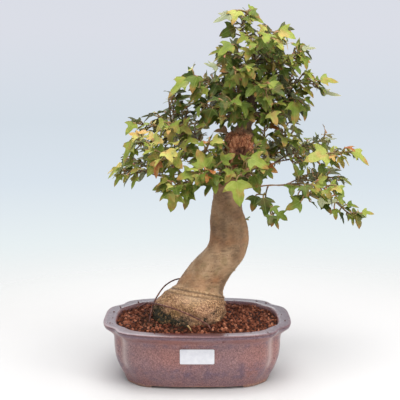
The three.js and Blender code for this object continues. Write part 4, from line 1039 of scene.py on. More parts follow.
# Painted shade: the band at 187 mm darkens the trunk over its shoulder; the other patches are the bark's own
# reddish tint
reddish += (0.5 + 0.4 * cloud(trunk_rings, 8, 2, 41)) * bell(height, 187, 7)
reddish += bell(height, 264, 12) * smooth_step(-outward[..., 1], 0.0, 0.6) * 0.8
foot_shade = is_burr * (1 - smooth_step(height, 84, 106))
foot_shade = foot_shade * smooth_step(cloud(trunk_rings, 4, 2, 33), -0.4, 0.3)
foot_shade *= 0.9 * smooth_step(trunk_rings[..., 0], -34, -8)
trunk_values = {
    "burr": is_burr, "wound": is_wound, "moss": moss_zone, "reddish": np.clip(reddish, 0, 1),
    "collar": bell(from_collar, -0.25, 0.62, 4),
    # Painted highlight: the top middle of the burr is lightened
    "bleached": near([-4, -36, 118], [0.55, 0.5, 1], 11) * is_burr,
    # Painted shade: the wound's hollow is coloured slate dark
    "hollow": near(WOUND_HOLLOW, [0.9, 1, 0.9], 6, 4),
    # Painted shade: darker in the low places of the relief, in the collar's grooves and at the burr's foot
    "sheltered": np.clip(np.clip(-relief / 1.2, 0, 1) + foot_shade + 1.2 * bell(from_collar, *COLLAR_GROOVE)
                         + 0.7 * bell(from_collar, -0.92, 0.1), 0, 1),
    # Young wood of the leader is darker, and it is painted darker still as shade inside the crown
    "young": smooth_step(height, 322, 348),
    # Painted shade: the stem above the shoulder is darker, less so near the crown
    "upper_stem": smooth_step(height - 0.35 * trunk_rings[..., 0], 158, 182)
    * (1 - 0.6 * smooth_step(height, 235, 262)),
}
# The skin's two end points come after the rings, and each takes the value next to it
trunk_values = {key: np.append(values, [values.flat[0], values.flat[-1]])
                for key, values in trunk_values.items()}
print("moss on", round(float((moss_zone > 0.5).mean()) * 100, 1), "% of the trunk")


# %% [markdown]
# The bark's finish reads those zones. Over the stem it is a tan and olive-grey skin with short level
# wrinkles and pale breathing pores, the burr is corky and ochre with dark crumbs, the collar is
# smoother and yellower, and the old wound is rust brown. Shade is painted into the colour: darker in
# the burr's pits and the other low places of the relief, in the collar's grooves, at the foot of the
# burr, over the trunk's shoulder, slate dark in the wound's hollow, and over the leader's darker
# young wood inside the crown. A painted highlight lightens the top of the burr.

# %% Bark finish
bark = Finish("maple_bark", Roughness=0.8)
crumb = bark.grain(1.9, detail=6, roughness=0.78)
streaks = bark.grain(1.4, detail=5, roughness=0.78, stretch=(0.7, 0.7, 1.3))
stem_skin = bark.coats(
    bark.ramp(bark.grain(24, detail=4, roughness=0.6), [
        (0.28, 134, 98, 68), (0.44, 162, 128, 94), (0.58, 182, 149, 114), (0.75, 168, 139, 107)]),
    (bark.between(streaks, 0.50, 0.68, 0, 0.32), (98, 72, 48)),
    (bark.between(streaks, 0.47, 0.34, 0, 0.5), (190, 160, 122)),
    (bark.between(bark.grain(15, detail=3), 0.50, 0.64, 0, 0.35), (118, 106, 66)),
    (bark.between(bark.cells(6), 0.16, 0.08, 0, 0.6), (70, 52, 34)),
    (bark.between(bark.grain(34, detail=3), 0.48, 0.66, 0, 0.35), (160, 108, 70)),
    # painted shade on the stem above the shoulder
    (bark.stored("upper_stem", 0.35), (126, 90, 60)))
ochre = bark.ramp(crumb, [(0.34, 34, 22, 8), (0.46, 88, 60, 26), (0.56, 146, 108, 54), (0.70, 190, 152, 90)])
pinkish = bark.ramp(crumb, [(0.32, 84, 50, 34), (0.46, 150, 104, 74), (0.60, 200, 158, 124)])
leftward = bark.between(bark.add("SeparateXYZ", {0: bark.place}).outputs["X"], -0.075, -0.035, 0.75, 0.0)
cork = bark.coats(
    bark.ramp(crumb, [(0.36, 36, 20, 10), (0.45, 98, 64, 38), (0.51, 158, 114, 74), (0.59, 210, 170, 126),
                      (0.8, 232, 206, 168)]),
    (bark.times(bark.between(bark.grain(19, detail=3), 0.36, 0.56), leftward), ochre),
    (bark.between(bark.grain(26, detail=2), 0.44, 0.60, 0, 0.6), pinkish),
    # painted highlight on the top of the burr
    (bark.stored("bleached", 0.5), (226, 192, 154)))
collar_colour = bark.ramp(bark.grain(3, detail=5), [
    (0.3, 116, 84, 54), (0.5, 172, 134, 96), (0.7, 212, 178, 136)])
rusty = bark.ramp(bark.grain(5, detail=6, roughness=0.75, stretch=(1.7, 1.7, 0.6)), [
    (0.34, 84, 40, 26), (0.44, 158, 90, 58), (0.54, 204, 134, 92), (0.68, 232, 184, 144)])
moss_colour = bark.ramp(crumb, [(0.35, 18, 18, 10), (0.53, 38, 36, 20), (0.66, 104, 88, 48)])
bark.colour(bark.coats(
    stem_skin,
    (bark.stored("burr"), cork),
    (bark.stored("collar", 0.85), collar_colour),
    # reddish bark, with a band of painted shade over the shoulder
    (bark.stored("reddish", 0.6), (152, 94, 50)),
    (bark.stored("wound"), rusty),
    # painted shade in the low places, the grooves and at the burr's foot
    (bark.stored("sheltered", 0.66), (58, 40, 28)),
    # painted shade in the wound's hollow
    (bark.stored("hollow", 0.85), (50, 50, 58)),
    (bark.times(bark.stored("moss"), bark.between(bark.grain(4), 0.36, 0.52)), moss_colour),
    # young wood, darkened further as painted shade inside the crown
    (bark.stored("young", 0.85), (66, 46, 34))))
bark.roughness(bark.between(crumb, 0.3, 0.7, 0.62, 0.92))
bark.relief((bark.grain(4, detail=5, roughness=0.7, stretch=(0.5, 0.5, 1.6)), 0.9), (crumb, 0.6))

trunk_points, trunk_faces = ring_skin(trunk_fine)
wood = as_object("trunk_wood", as_mesh("trunk_wood", trunk_points, trunk_faces, bark, trunk_values))
finished(wood, "bark", "trunk")


# %% [markdown]
# Moss has settled at the foot of the burr and on the damp soil around it, nearly black where it is
# wet. It is strewn as the soil is, from smaller lumps, where the stored value says it grows.

# %% Moss
moss = Finish("dark_moss", Roughness=0.95)
moss.colour(moss.coats(
    moss.ramp(moss.stored("tint"), [(0.0, 14, 14, 8), (0.5, 34, 32, 19), (0.9, 64, 56, 32)]),
    (moss.between(moss.grain(2.4, detail=4), 0.55, 0.75, 0, 0.8), (124, 102, 56))))
moss.relief((moss.grain(0.9, detail=3), 0.3))
tuft_box = lump_box("tuft", 4, 12, 0.9, 77)
moss_recipe = scattering("tufts_of_moss", tuft_box, "damp", moss, Spacing=0.0012, Density=500000.0, Seed=8,
                         Smallest=0.0012, Largest=0.0026)


def grow_moss(name, points, faces, values):
    """Moss on the faces of a skin where the stored value says it grows, thinning out at its edge."""
    kept = [face for face in faces if min(values[corner] for corner in face) > 0.15]
    used = sorted({corner for face in kept for corner in face})
    place_of = {corner: index for index, corner in enumerate(used)}
    ground = as_mesh(name, points[used], [[place_of[corner] for corner in face] for face in kept], None,
                     {"damp": np.clip(values[used] * 1.2 - 0.2, 0, 1)})
    finished(made_by(moss_recipe, as_object(name, ground)), "soil")


grow_moss("moss_on_burr", trunk_points, trunk_faces, trunk_values["moss"])
grow_moss("moss_on_soil", mound_points, mound_faces, mound_values["damp"] * clear_of_tree)
empty_box(tuft_box)


# %% [markdown]
# ## The branches and where the leaves grow
# Every branch is a bare limb that goes on as a leafy stem. The table gives the points of both, and
# the leaves that can be told apart from the front, by the base and the tip of the blade. All others
# follow one rule of growth: opposite pairs at evenly spaced nodes, each pair a quarter turn on from
# the last, wherever a blade finds free air. The rule is the same as in the construction model, down
# to its seed, so every fine leaf grows from the place of its plain one.

# %% Table of branches
# Name, leaf length, radius of the wood at start and end, its points, the stem's points, and chosen
# leaves with base, tip and tint, below zero where the underside looks out
BRANCHES = [
    ("apex_left", 23, (2.4, 1.5), [(73, -2, 431), (63, -4, 448)], [(56, -8, 459), (59, -8, 472), (63, -4, 482)],
     [(41, -10, 483, 20, -14, 464, -0.5), (51, -12, 484, 43, -26, 466, 0.7), (68, 0, 487, 76, 10, 492, 0.45),
     (69, -9, 477, 88, -14, 470, 0.58)]),
    ("apex_right", 23, (2.2, 1.4), [(73, -2, 431), (78, 2, 446)], [(84, 8, 456), (98, 14, 459), (112, 18, 455)],
     [(85, -2, 466, 82, -12, 452, 0.8), (111, 18, 460, 123, 14, 446, 0.45),
     (102, 4, 447, 122, -6, 439, -0.45)]),
    ("upper_left", 24, (2.2, 1.4), [(74, -1, 419), (59, -10, 425)], [(48, -20, 430), (37, -30, 432)],
     [(44, -30, 441, 23, -38, 427, 0.52)]),
    ("upper_right", 23, (2.4, 1.4), [(74, 0, 411), (90, -10, 416)], [(107, -18, 419), (122, -26, 425),
     (130, -30, 435)], [(133, -31, 439, 151, -36, 433, -0.5), (134, -32, 427, 141, -38, 408, 0.5)]),
    ("upper_back", 25, (2.2, 1.3), [(74, 0, 421), (81, 14, 428)], [(89, 32, 434), (100, 50, 437)], []),
    ("upper_front", 23, (2.2, 1.4), [(73, -3, 397), (65, -16, 405)], [(58, -34, 410), (48, -50, 407)], []),
    ("upper_back_left", 25, (2.2, 1.3), [(74, 1, 402), (66, 16, 410)], [(55, 34, 415), (43, 50, 415)], []),
    ("middle_left", 25, (2.8, 1.6), [(72, 0, 376), (53, -8, 382)], [(32, -16, 389), (11, -22, 397),
     (-4, -26, 401)], [(25, -32, 415, 5, -42, 415, -0.45), (-12, -28, 397, -43, -34, 376, 0.56),
     (2, -39, 387, -11, -48, 369, 0.2), (11, -34, 387, -8, -42, 369, 0.5)]),
    ("middle_left_back", 26, (2.6, 1.5), [(72, 2, 368), (57, 18, 373)], [(40, 38, 378), (23, 56, 380)], []),
    ("middle_right", 25, (2.8, 1.6), [(74, 0, 385), (93, -6, 389)], [(115, -12, 392), (135, -14, 393),
     (153, -16, 391)], [(158, -21, 396, 184, -22, 397, 0.58), (160, -12, 386, 186, -18, 371, -0.55)]),
    ("middle_front", 23, (2.4, 1.5), [(73, -3, 381), (76, -18, 387)], [(79, -40, 390), (85, -62, 386)], []),
    ("middle_back", 26, (2.6, 1.5), [(73, 3, 379), (82, 20, 385)], [(96, 46, 388), (112, 70, 391)], []),
    ("lower_left", 25, (3.2, 1.7), [(67, 0, 351), (45, -10, 356)], [(27, -20, 361), (9, -30, 363)],
     [(19, -40, 361, 9, -50, 339, 0.16)]),
    ("lower_right", 24, (3.6, 1.8), [(64, 0, 342), (86, -8, 348), (103, -14, 358)], [(113, -18, 370),
     (124, -22, 375), (133, -24, 369)], [(124, -32, 369, 126, -41, 337, 0.42),
     (138, -17, 364, 142, -20, 342, 0.34)]),
    ("lower_right_back", 26, (3.0, 1.6), [(68, 3, 350), (87, 22, 354)], [(107, 42, 359), (128, 62, 361)], []),
    ("lower_front", 22, (2.6, 1.4), [(66, -5, 348), (59, -24, 359)], [(49, -44, 367), (37, -62, 369)],
     [(38, -62, 368, 27, -74, 350, 0.2)]),
    ("lower_back", 27, (3.0, 1.6), [(68, 4, 350), (64, 26, 357)], [(57, 52, 361), (49, 78, 363)], []),
    ("shoulder_left", 25, (4.6, 1.8), [(42, 8, 302), (14, 16, 312), (-10, 20, 320), (-28, 20, 325)],
     [(-46, 20, 330), (-63, 20, 336), (-77, 20, 338)], [(-63, 12, 339, -81, 6, 334, 0.5)]),
    ("shoulder_left_front", 25, (2.2, 1.5), [(-7, 20, 319), (-17, 4, 326)], [(-26, -14, 334), (-35, -32, 340)],
     [(-17, -30, 341, -9, -36, 352, 0.45)]),
    ("shoulder_left_mid", 26, (1.8, 1.5), [(-20, 19, 323), (-44, 6, 319)], [(-59, -8, 317), (-73, -20, 316)],
     [(-81, -26, 317, -102, -32, 288, 0.48), (-61, -16, 312, -73, -26, 292, 0.38)]),
    ("shoulder_left_back", 27, (2.6, 1.6), [(17, 15, 311), (4, 36, 314)], [(-10, 58, 318), (-27, 80, 321)], []),
    ("low_left", 24, (4.4, 1.6), [(25, -4, 255), (1, -14, 273), (-22, -18, 275), (-47, -22, 273),
     (-66, -24, 279)], [(-79, -26, 281), (-92, -28, 281), (-99, -30, 284)],
     [(-101, -30, 284, -118, -34, 272, 0.6), (-77, -35, 274, -87, -42, 258, 0.42)]),
    ("low_left_upper", 27, (2.4, 1.5), [(-20, -17, 275), (-27, -34, 287)], [(-34, -50, 297), (-43, -68, 307)],
     []),
    ("low_left_front", 27, (2.6, 1.5), [(1, -14, 273), (-9, -34, 269)], [(-20, -54, 267), (-31, -72, 266)],
     [(-9, -53, 257, -19, -61, 233, 0.5)]),
    ("low_left_back", 25, (2.2, 1.5), [(-46, -22, 273), (-60, -4, 279)], [(-74, 16, 285), (-89, 34, 289)], []),
    ("low_left_inner", 25, (2.4, 1.5), [(-20, -18, 275), (-31, 0, 282)], [(-42, 20, 290), (-56, 38, 296)], []),
    ("right_upper", 24, (4.8, 1.8), [(57, 2, 260), (72, 6, 266), (88, 12, 277), (106, 18, 287), (124, 24, 298)],
     [(140, 28, 306), (157, 31, 312), (172, 33, 317)], [(157, 24, 314, 165, 20, 325, 0.4),
     (173, 30, 319, 190, 26, 315, -0.5)]),
    ("right_long", 23, (2.4, 1.5), [(109, 18, 288), (121, 4, 292)], [(137, -10, 296), (157, -20, 299),
     (179, -28, 304), (196, -32, 306)], [(168, -26, 303, 134, -40, 296, 0.67),
     (199, -32, 306, 225, -38, 290, 0.64)]),
    ("right_back", 26, (1.9, 1.5), [(115, 21, 293), (134, 42, 297)], [(149, 64, 300), (166, 86, 299)], []),
    ("right_inner", 26, (2.4, 1.5), [(90, 13, 278), (97, 26, 289)], [(108, 42, 302), (122, 60, 310)], []),
    ("right_low", 22, (4.4, 1.7), [(57, -4, 253), (75, -10, 257), (95, -16, 260), (117, -20, 261),
     (132, -26, 263)], [(138, -30, 254), (156, -32, 247), (174, -34, 244), (195, -36, 227), (205, -36, 224)],
     [(213, -36, 227, 230, -40, 228, 0.62), (199, -36, 223, 203, -42, 210, 0.56),
     (156, -36, 245, 183, -44, 239, -0.5)]),
    ("right_front", 26, (2.4, 1.5), [(93, -15, 259), (90, -32, 257)], [(87, -52, 250), (90, -66, 241),
     (95, -72, 232)], [(95, -72, 229, 93, -76, 214, 0.12), (83, -66, 251, 88, -77, 228, 0.12),
     (74, -56, 252, 69, -64, 231, 0.18)]),
    ("right_low_front", 24, (2.4, 1.5), [(113, -19, 261), (122, -36, 265)], [(134, -54, 267), (151, -68, 265),
     (169, -78, 263)], [(174, -78, 267, 183, -84, 256, 0.5), (130, -60, 245, 109, -66, 235, 0.36)]),
    ("right_low_back", 25, (2.4, 1.5), [(115, -19, 261), (131, 0, 265)], [(151, 20, 268), (174, 40, 267)], []),
    ("front_left", 25, (3.0, 1.5), [(43, -12, 267), (31, -40, 273)], [(18, -56, 278), (4, -74, 282)],
     [(31, -58, 296, 49, -60, 308, 0.5)]),
    ("front_right", 25, (3.0, 1.5), [(51, -12, 264), (59, -38, 274)], [(68, -54, 284), (81, -70, 291)],
     [(49, -68, 273, 54, -80, 239, 0.6), (66, -72, 302, 90, -84, 290, 0.46)]),
    ("back_left", 27, (3.0, 1.6), [(49, 12, 275), (42, 38, 281)], [(32, 62, 287), (18, 88, 289)], []),
    ("back_right", 27, (3.0, 1.6), [(60, 12, 277), (74, 38, 287)], [(90, 64, 293), (108, 92, 294)], []),
]
print(len(BRANCHES), "branches")


# %% Paths and nodes of growth
NODE_SPACING = 12
UP = np.array([0.0, 0.0, 1.0])


def unit(vector):
    return vector / np.linalg.norm(vector)


def sideways(along):
    reference = UP if abs(along[2]) < 0.9 else np.array([0.0, 1.0, 0.0])
    return unit(np.cross(reference, along))


def stem_point(points, share):
    """Point on a smooth curve through the stem's points."""
    steps = len(points) - 1
    step = min(int(share * steps), steps - 1)
    p1, p2 = points[step], points[step + 1]
    p0, p3 = points[max(step - 1, 0)], points[min(step + 2, steps)]
    return cubic(p1, p2 - p1, (p2 - p0) / 2, (p3 - p1) / 2, share * steps - step)


class Node:
    """A place on a stem where leaves can grow."""

    def __init__(self, place, along, across, share):
        self.place, self.along, self.across, self.share = place, along, across, share
        self.over = np.cross(along, across)
        self.used = set()

    def sides(self):
        return [self.across, self.over, -self.across, -self.over, self.along]


class Branch:
    """One row of the table, with the nodes of its stem and the leaves on them."""

    def __init__(self, name, leaf, radii, wood, stem, placed):
        self.name, self.leaf, self.radii, self.placed = name, leaf, radii, placed
        self.wood = np.array(wood, float)
        self.stem = np.array([wood[-1], *stem], float)
        length = np.linalg.norm(np.diff(self.stem, axis=0), axis=1).sum()
        self.count = max(int(length / NODE_SPACING + 0.5), 2)
        self.nodes, self.leaves = [], []
        across = None
        for index in range(self.count + 1):
            share = index / self.count
            along = unit(stem_point(self.stem, min(share + 0.02, 1))
                         - stem_point(self.stem, max(share - 0.02, 0)))
            if index == 0:
                along = unit(self.wood[-1] - self.wood[-2])
            across = sideways(along) if across is None else across
            across = unit(across - along * across.dot(along))
            self.nodes.append(Node(stem_point(self.stem, share), along, across, share))


branches = [Branch(*row) for row in BRANCHES]
print(sum(branch.count for branch in branches), "nodes of growth")


# %% Room that is taken
# Places over the midrib of a blade of length 1, and over its right half
MIDRIB_SPOTS = [(0, 0.16, 0), (0, 0.36, -0.02), (0, 0.56, -0.05), (0, 0.78, -0.09), (0, 1, -0.12)]
RIGHT_SPOTS = [(0.18, 0.1, 0.03), (0.34, 0.16, 0.06), (0.5, 0.32, 0.1), (0.34, 0.34, 0.06), (0.17, 0.28, 0.03),
               (0.17, 0.48, 0.03), (0.16, 0.68, 0.01), (0.09, 0.86, -0.05)]
BLADE_SPOTS = np.array(MIDRIB_SPOTS + RIGHT_SPOTS + [(-x, y, z) for x, y, z in RIGHT_SPOTS])
SPOT_RADIUS = 0.07
STALK_RADIUS = 1.3
MOST_SPOTS = 60000
BLADE_REACH = 26
# Owners: the wood, the stems by their branch's number, and from here on each blade by itself
WOOD = -1
FIRST_BLADE = 10000


class Taken:
    """Round spots of room that are taken already, each with the number of its owner."""

    def __init__(self):
        self.rows = np.zeros((MOST_SPOTS, 5))
        self.count = 0

    def add(self, places, radius, owner):
        places = np.atleast_2d(places)
        rows = self.rows[self.count:self.count + len(places)]
        rows[:, :3], rows[:, 3], rows[:, 4] = places, radius, owner
        self.count += len(places)

    def is_free(self, places, radius, spared=None):
        rows = self.rows[:self.count]
        near_by = rows[(np.abs(rows[:, :3] - places.mean(0)) < BLADE_REACH + rows[:, 3:4]).all(1)]
        if spared is not None:
            near_by = near_by[near_by[:, 4] != spared]
        gaps = np.linalg.norm(places[:, None] - near_by[None, :, :3], axis=2) - near_by[None, :, 3]
        return bool((gaps >= radius).all())


taken = Taken()
for row in TRUNK_RINGS[COLLAR_RING:]:
    middle = ((row[0] + row[2]) / 2, (row[4] + row[5]) / 2, (row[1] + row[3]) / 2)
    taken.add(middle, (row[2] - row[0] + row[5] - row[4]) / 4 + 1.5, WOOD)
full_leader = [(70, 0, 352), (71, 1, 362), *LEADER]
limbs = [(np.array(full_leader, float), np.array([8, 7.2, *LEADER_RADII]))]
limbs += [(branch.wood, np.linspace(*branch.radii, len(branch.wood))) for branch in branches]
for path, radii in limbs:
    for start, end, thick, thin in zip(path, path[1:], radii, radii[1:]):
        steps = math.ceil(np.linalg.norm(end - start) / 4)
        for step in range(steps + 1):
            taken.add(start + (end - start) * step / steps, thick + (thin - thick) * step / steps + 1, WOOD)
print(taken.count, "spots of wood")


# %% Leaves
class Leaf:
    """A leaf by its place on the stem, the base of its blade, its directions and its length."""

    def __init__(self, node, side, base, midrib, upper, length, sweep):
        self.node, self.side, self.root, self.base = node, side, node.place, base
        self.along = unit(midrib)
        self.length, self.sweep, self.shade = length, sweep, None
        self.face(upper)

    def face(self, upper):
        """Rolls the blade about its midrib until its upper side looks this way."""
        self.normal = unit(upper - self.along * upper.dot(self.along))
        self.across = np.cross(self.along, self.normal)

    def spots(self):
        frame_of = np.array([self.across, self.along, self.normal])
        return self.base + BLADE_SPOTS @ frame_of * self.length

    def stalk_spots(self):
        return self.root + np.array([[0.25], [0.45], [0.65], [0.85]]) * (self.base - self.root)


def claim(leaf, number, order, slack=1.0):
    taken.add(leaf.spots(), SPOT_RADIUS * slack * leaf.length, FIRST_BLADE + 100 * number + order)
    taken.add(leaf.stalk_spots(), STALK_RADIUS * slack, number)


def fits(leaf, number, slack=1.0):
    return (taken.is_free(leaf.spots(), SPOT_RADIUS * slack * leaf.length)
            and taken.is_free(leaf.stalk_spots(), STALK_RADIUS * slack, number))


def outward_from(place):
    return unit(place - np.array([55, 0, place[2]]))


def chosen_leaf(branch, base, tip):
    """A leaf by its base and tip, on the free side of the stem that leads to it most directly."""
    start = np.array(base, float)
    midrib = np.array(tip, float) - start
    behind = start - 0.4 * midrib
    best = None
    for node in branch.nodes[1:]:
        stalk = unit(start - node.place)
        for side, direction in enumerate(node.sides()):
            back_fold = max(0, 0.5 - stalk.dot(midrib) / np.linalg.norm(midrib))
            cost = np.linalg.norm(node.place - behind) + 20 * (1 - stalk.dot(direction)) + 60 * back_fold
            is_open = side not in node.used and (side != 4 or node is branch.nodes[-1])
            if is_open and (best is None or cost < best[0]):
                best = (cost, node, side)
    _, node, side = best
    node.used.add(side)
    upper = outward_from(start) * 0.5 + np.array([0, -0.7, 0.6])
    return Leaf(node, side, start, midrib, upper, np.linalg.norm(midrib), 0.5)


def grown_leaf(node, side, turn, size, roll, facing=0.7):
    """A leaf by the rule: its stalk leans forward and the blade hangs outward, face to the light."""
    wobble = turn + 0.7 * (next(roll) - 0.5)
    forward = 1.6 if side == 4 else 0.55
    stalk = unit(node.along * forward + node.across * math.cos(wobble) + node.over * math.sin(wobble)
                 + UP * 0.25)
    base = node.place + stalk * size * (0.3 + 0.3 * next(roll))
    away = outward_from(base)
    toward_front = min(max(0.5 - base[1] / 80, 0), 1)
    upper = np.array([next(roll) - 0.5, next(roll) - 0.5 - facing * toward_front, next(roll) + 0.35])
    upper = unit(upper + away * 0.5)
    midrib = stalk * 0.8 + away * 0.35 + UP * (-0.35 - 0.4 * next(roll))
    midrib = unit(midrib - upper * midrib.dot(upper))
    length = size * (0.82 + 0.32 * next(roll))
    leaf = Leaf(node, side, base, midrib, upper, length, next(roll))
    reaches = stalk.dot(node.sides()[side]) > 0.5
    return leaf if reaches and stalk.dot(midrib) > 0.4 else None


# Outline of the crown as seen from the front: height, left edge and right edge
CROWN_OUTLINE = np.array([
    (198, 89, 138), (209, 87, 238), (222, -19, 233), (239, -36, 206), (252, -100, 203), (268, -121, 205),
    (286, -119, 237), (299, -115, 226), (312, -112, 202), (329, -102, 195), (342, -91, 194),
    (354, -62, 181), (363, -16, 167), (374, -47, 189), (384, -45, 189), (397, -25, 160), (407, -2, 152),
    (420, 10, 153), (433, 21, 156), (443, 22, 133), (453, 27, 120), (461, 26, 97), (471, 18, 88),
    (481, 18, 84), (489, 32, 71)])


def in_outline(*places):
    """Whether places keep within the outline of the crown."""
    for place in places:
        left, right = (np.interp(place[2], CROWN_OUTLINE[:, 0], CROWN_OUTLINE[:, side]) for side in (1, 2))
        if not (left < place[0] < right and place[2] < CROWN_OUTLINE[-1, 0]):
            return False
    return True


def tip_of(leaf):
    return leaf.base + leaf.along * leaf.length


def over_bare_stem(leaf):
    """Nothing but the one chosen leaf hangs in front of the bare part of the trunk."""
    x, y, z = tip_of(leaf)
    return 15 < x < 78 and y < 0 and z < 246


def may_stay(leaf, slack):
    """Smaller leaves keep to the crown's outline and leave the bare stem in view."""
    return slack == 1 or (in_outline(leaf.base, tip_of(leaf)) and not over_bare_stem(leaf))


def try_leaf(branch, number, node, side, size, roll, slack=1.0, tries=10, facing=0.7):
    """Grows a leaf on this side of the node if one of a few turns and sizes finds free air."""
    if side in node.used:
        return
    for attempt in range(tries):
        lean = 0.12 * attempt * (1 if attempt % 2 == 0 else -1)
        turn = side * math.pi / 2 + lean
        leaf = grown_leaf(node, side, turn, size * (1 - 0.05 * attempt), roll, facing)
        if leaf is not None and may_stay(leaf, slack) and fits(leaf, number, slack):
            node.used.add(side)
            claim(leaf, number, len(branch.leaves), slack)
            branch.leaves.append(leaf)
            return


# %% Growing
for number, branch in enumerate(branches):
    for before, after in zip(branch.nodes, branch.nodes[1:]):
        for step in range(4):
            taken.add(before.place + (after.place - before.place) * step / 4, 1.7, number)
for number, branch in enumerate(branches):
    for *ends, shade in branch.placed:
        leaf = chosen_leaf(branch, ends[:3], ends[3:])
        leaf.shade = shade
        claim(leaf, number, len(branch.leaves))
        branch.leaves.append(leaf)
roll = dice(4)
for order in range(1, 12):
    for number, branch in enumerate(branches):
        index = len(branch.nodes) - order
        if index >= 1:
            size = branch.leaf * (0.8 if order == 1 else 1)
            for side in [index % 2, index % 2 + 2] + ([4] if order == 1 else []):
                try_leaf(branch, number, branch.nodes[index], side, size, roll)
main_count = sum(len(branch.leaves) for branch in branches)
print(main_count, "leaves, as in the construction model")


# %% [markdown]
# A living spray carries more than its large leaves: half-grown ones between them and tiny ones at
# the buds. The construction model has none of them, so they are added here, on the sides that stayed
# free and half way between the nodes, and so are short shoots on the bare limbs inside the crown.

# %% Smaller leaves between
small_roll = dice(21)
# The face of the old wound stays in view, as it does on the real tree
taken.add([(50, -46, 312), (50, -84, 320)], 21, WOOD)


def left_bare(node):
    """Whether a side of this node stays bare: most often in the airy layer at the lower right."""
    x, y, z = node.place
    airiest = 85 < x < 135 and z < 275 and y < -10
    return next(small_roll) < (0.85 if airiest else 0.45 if x > 80 and z < 345 else 0.25)


def fill_in(branch, number, nodes, share, slack, tries):
    for node in nodes:
        for side in range(4):
            if not left_bare(node):
                try_leaf(branch, number, node, side, branch.leaf * share, small_roll, slack, tries, 0.3)


for share, slack in ((0.86, 0.72), (0.66, 0.6)):
    for number, branch in enumerate(branches):
        fill_in(branch, number, branch.nodes[1:], share, slack, 7)
for number, branch in enumerate(branches):
    between = []
    for before, after in zip(branch.nodes, branch.nodes[1:]):
        share = (before.share + after.share) / 2
        along = unit(after.place - before.place)
        across = unit(np.cross(before.across + before.over, along))
        between.append(Node(stem_point(branch.stem, share), along, across, share))
    for share, slack in ((0.86, 0.7), (0.62, 0.58)):
        fill_in(branch, number, between, share, slack, 6)
print(sum(len(branch.leaves) for branch in branches) - main_count, "smaller leaves")


# %% Short shoots inside the crown
SHOOT_COUNT = 70
FIRST_SHOOT = 500


def short_shoot(index, luck):
    """A twig of a few centimetres from a bare limb or the leader, with two or three nodes."""
    path, _ = limbs[0] if index % 5 == 0 else limbs[1 + int(next(luck) * len(branches))]
    share = 0.35 + 0.6 * next(luck)
    start = stem_point(path, share)
    along = unit(stem_point(path, min(share + 0.05, 1)) - stem_point(path, share - 0.05))
    away = unit(np.array([next(luck) - 0.5, next(luck) - 0.5, 0.8 * next(luck) - 0.15]))
    away = unit(away - along * away.dot(along) * 0.8 + outward_from(start) * 0.25)
    span = 26 + 22 * next(luck)
    bend = np.array([next(luck) - 0.5, next(luck) - 0.5, 0.4]) * 6
    wood = [start, start + away * 7]
    stem = [start + away * (7 + span * 0.5) + bend, start + away * (7 + span) + bend * 1.5]
    return Branch(f"shoot_{index}", 17 + 6 * next(luck), (0.9, 0.6), wood, stem, [])


def low_twig(index, start, away, span):
    """A twig in the shade where the leader leaves the knob; together they hide its foot."""
    start, away = np.array(start, float), unit(np.array(away, float))
    wood = [start, start + away * 9]
    stem = [start + away * (9 + span * share) + UP * span * rise for share, rise in ((0.5, 0.1), (1, 0.02))]
    return Branch(f"twig_{index}", 17, (1.2, 0.7), wood, stem, [])


LOW_TWIGS = [((64, -5, 349), (-0.9, -0.7, 0.05), 26), ((67, -6, 352), (-0.3, -1, 0.0), 26),
             ((69, -6, 350), (0.35, -1, 0.0), 24), ((73, -3, 352), (1, -0.6, 0.0), 26),
             ((64, 0, 352), (-1, 0.1, 0.1), 28), ((68, -6, 360), (-0.7, -0.8, 0.1), 34),
             ((71, -6, 362), (0.6, -0.9, 0.1), 30), ((69, -6, 356), (0.0, -1, -0.2), 18),
             ((70, 6, 352), (0.2, 1, 0.0), 26), ((66, 5, 352), (-0.8, 0.8, 0.0), 26)]
shoots = [short_shoot(index, small_roll) for index in range(SHOOT_COUNT)]
shoots = [shoot for shoot in shoots if in_outline(shoot.stem[-1])]
shoots = [low_twig(index, *row) for index, row in enumerate(LOW_TWIGS)] + shoots
for index, shoot in enumerate(shoots):
    number = FIRST_SHOOT + index
    for order, node in enumerate(shoot.nodes[:0:-1]):
        for side in ([4] if order == 0 else []) + [0, 1, 2, 3]:
            try_leaf(shoot, number, node, side, shoot.leaf, small_roll, 0.62, 5, 0.3)
shoots = [shoot for shoot in shoots if len(shoot.leaves) > 2]
# Chosen leaves that aren't at the very front lie flatter than the room that was kept for them
for branch in branches:
    for leaf in branch.leaves:
        if leaf.shade is not None and leaf.base[1] > -58:
            leaf.face(outward_from(leaf.base) * 0.5 + np.array([0, -0.3, 0.6]))
print(len(shoots), "short shoots with", sum(len(shoot.leaves) for shoot in shoots), "leaves")


# %% [markdown]
# ## The leaf blade
# A trident maple's leaf has three pointed lobes that all look forward, and a rounded base. Eight
# blades, each a little different in its lobes, its curl and its waviness, are enough for the whole
# tree. Each is a thin sheet, folded along the midrib and drooping at the tips: an upper skin, a lower
# skin drawn in a little, and a narrow wall between them. The veins are left to the finish, which
# needs to know where on the blade it is, so the flat place is stored on the points.

# %% Blades
BLADE_KINDS = 8
BLADE_THICKNESS = 0.3
SHAPE = [(0.0, 0.0), (0.20, -0.01), (0.38, 0.10), (0.49, 0.22), (0.585, 0.37), (0.41, 0.355), (0.245, 0.375),
         (0.20, 0.46), (0.215, 0.61), (0.15, 0.80), (0.0, 1.0)]
VEIN_POINTS = [(0, 0.3), (0, 0.65), (0.24, 0.2)]


def blade_outline(sweep, spread, narrow):
    """Right half of the outline; the side lobe swings forward by its sweep, out by its spread."""
    half = []
    for across, along in SHAPE:
        lobe = max(0.0, min(1.0, (across - 0.2) / 0.3)) if along < 0.4 else 0.0
        half.append((across * (1 + spread * lobe) * narrow, along + 0.2 * (sweep - 0.5) * lobe))
    return half


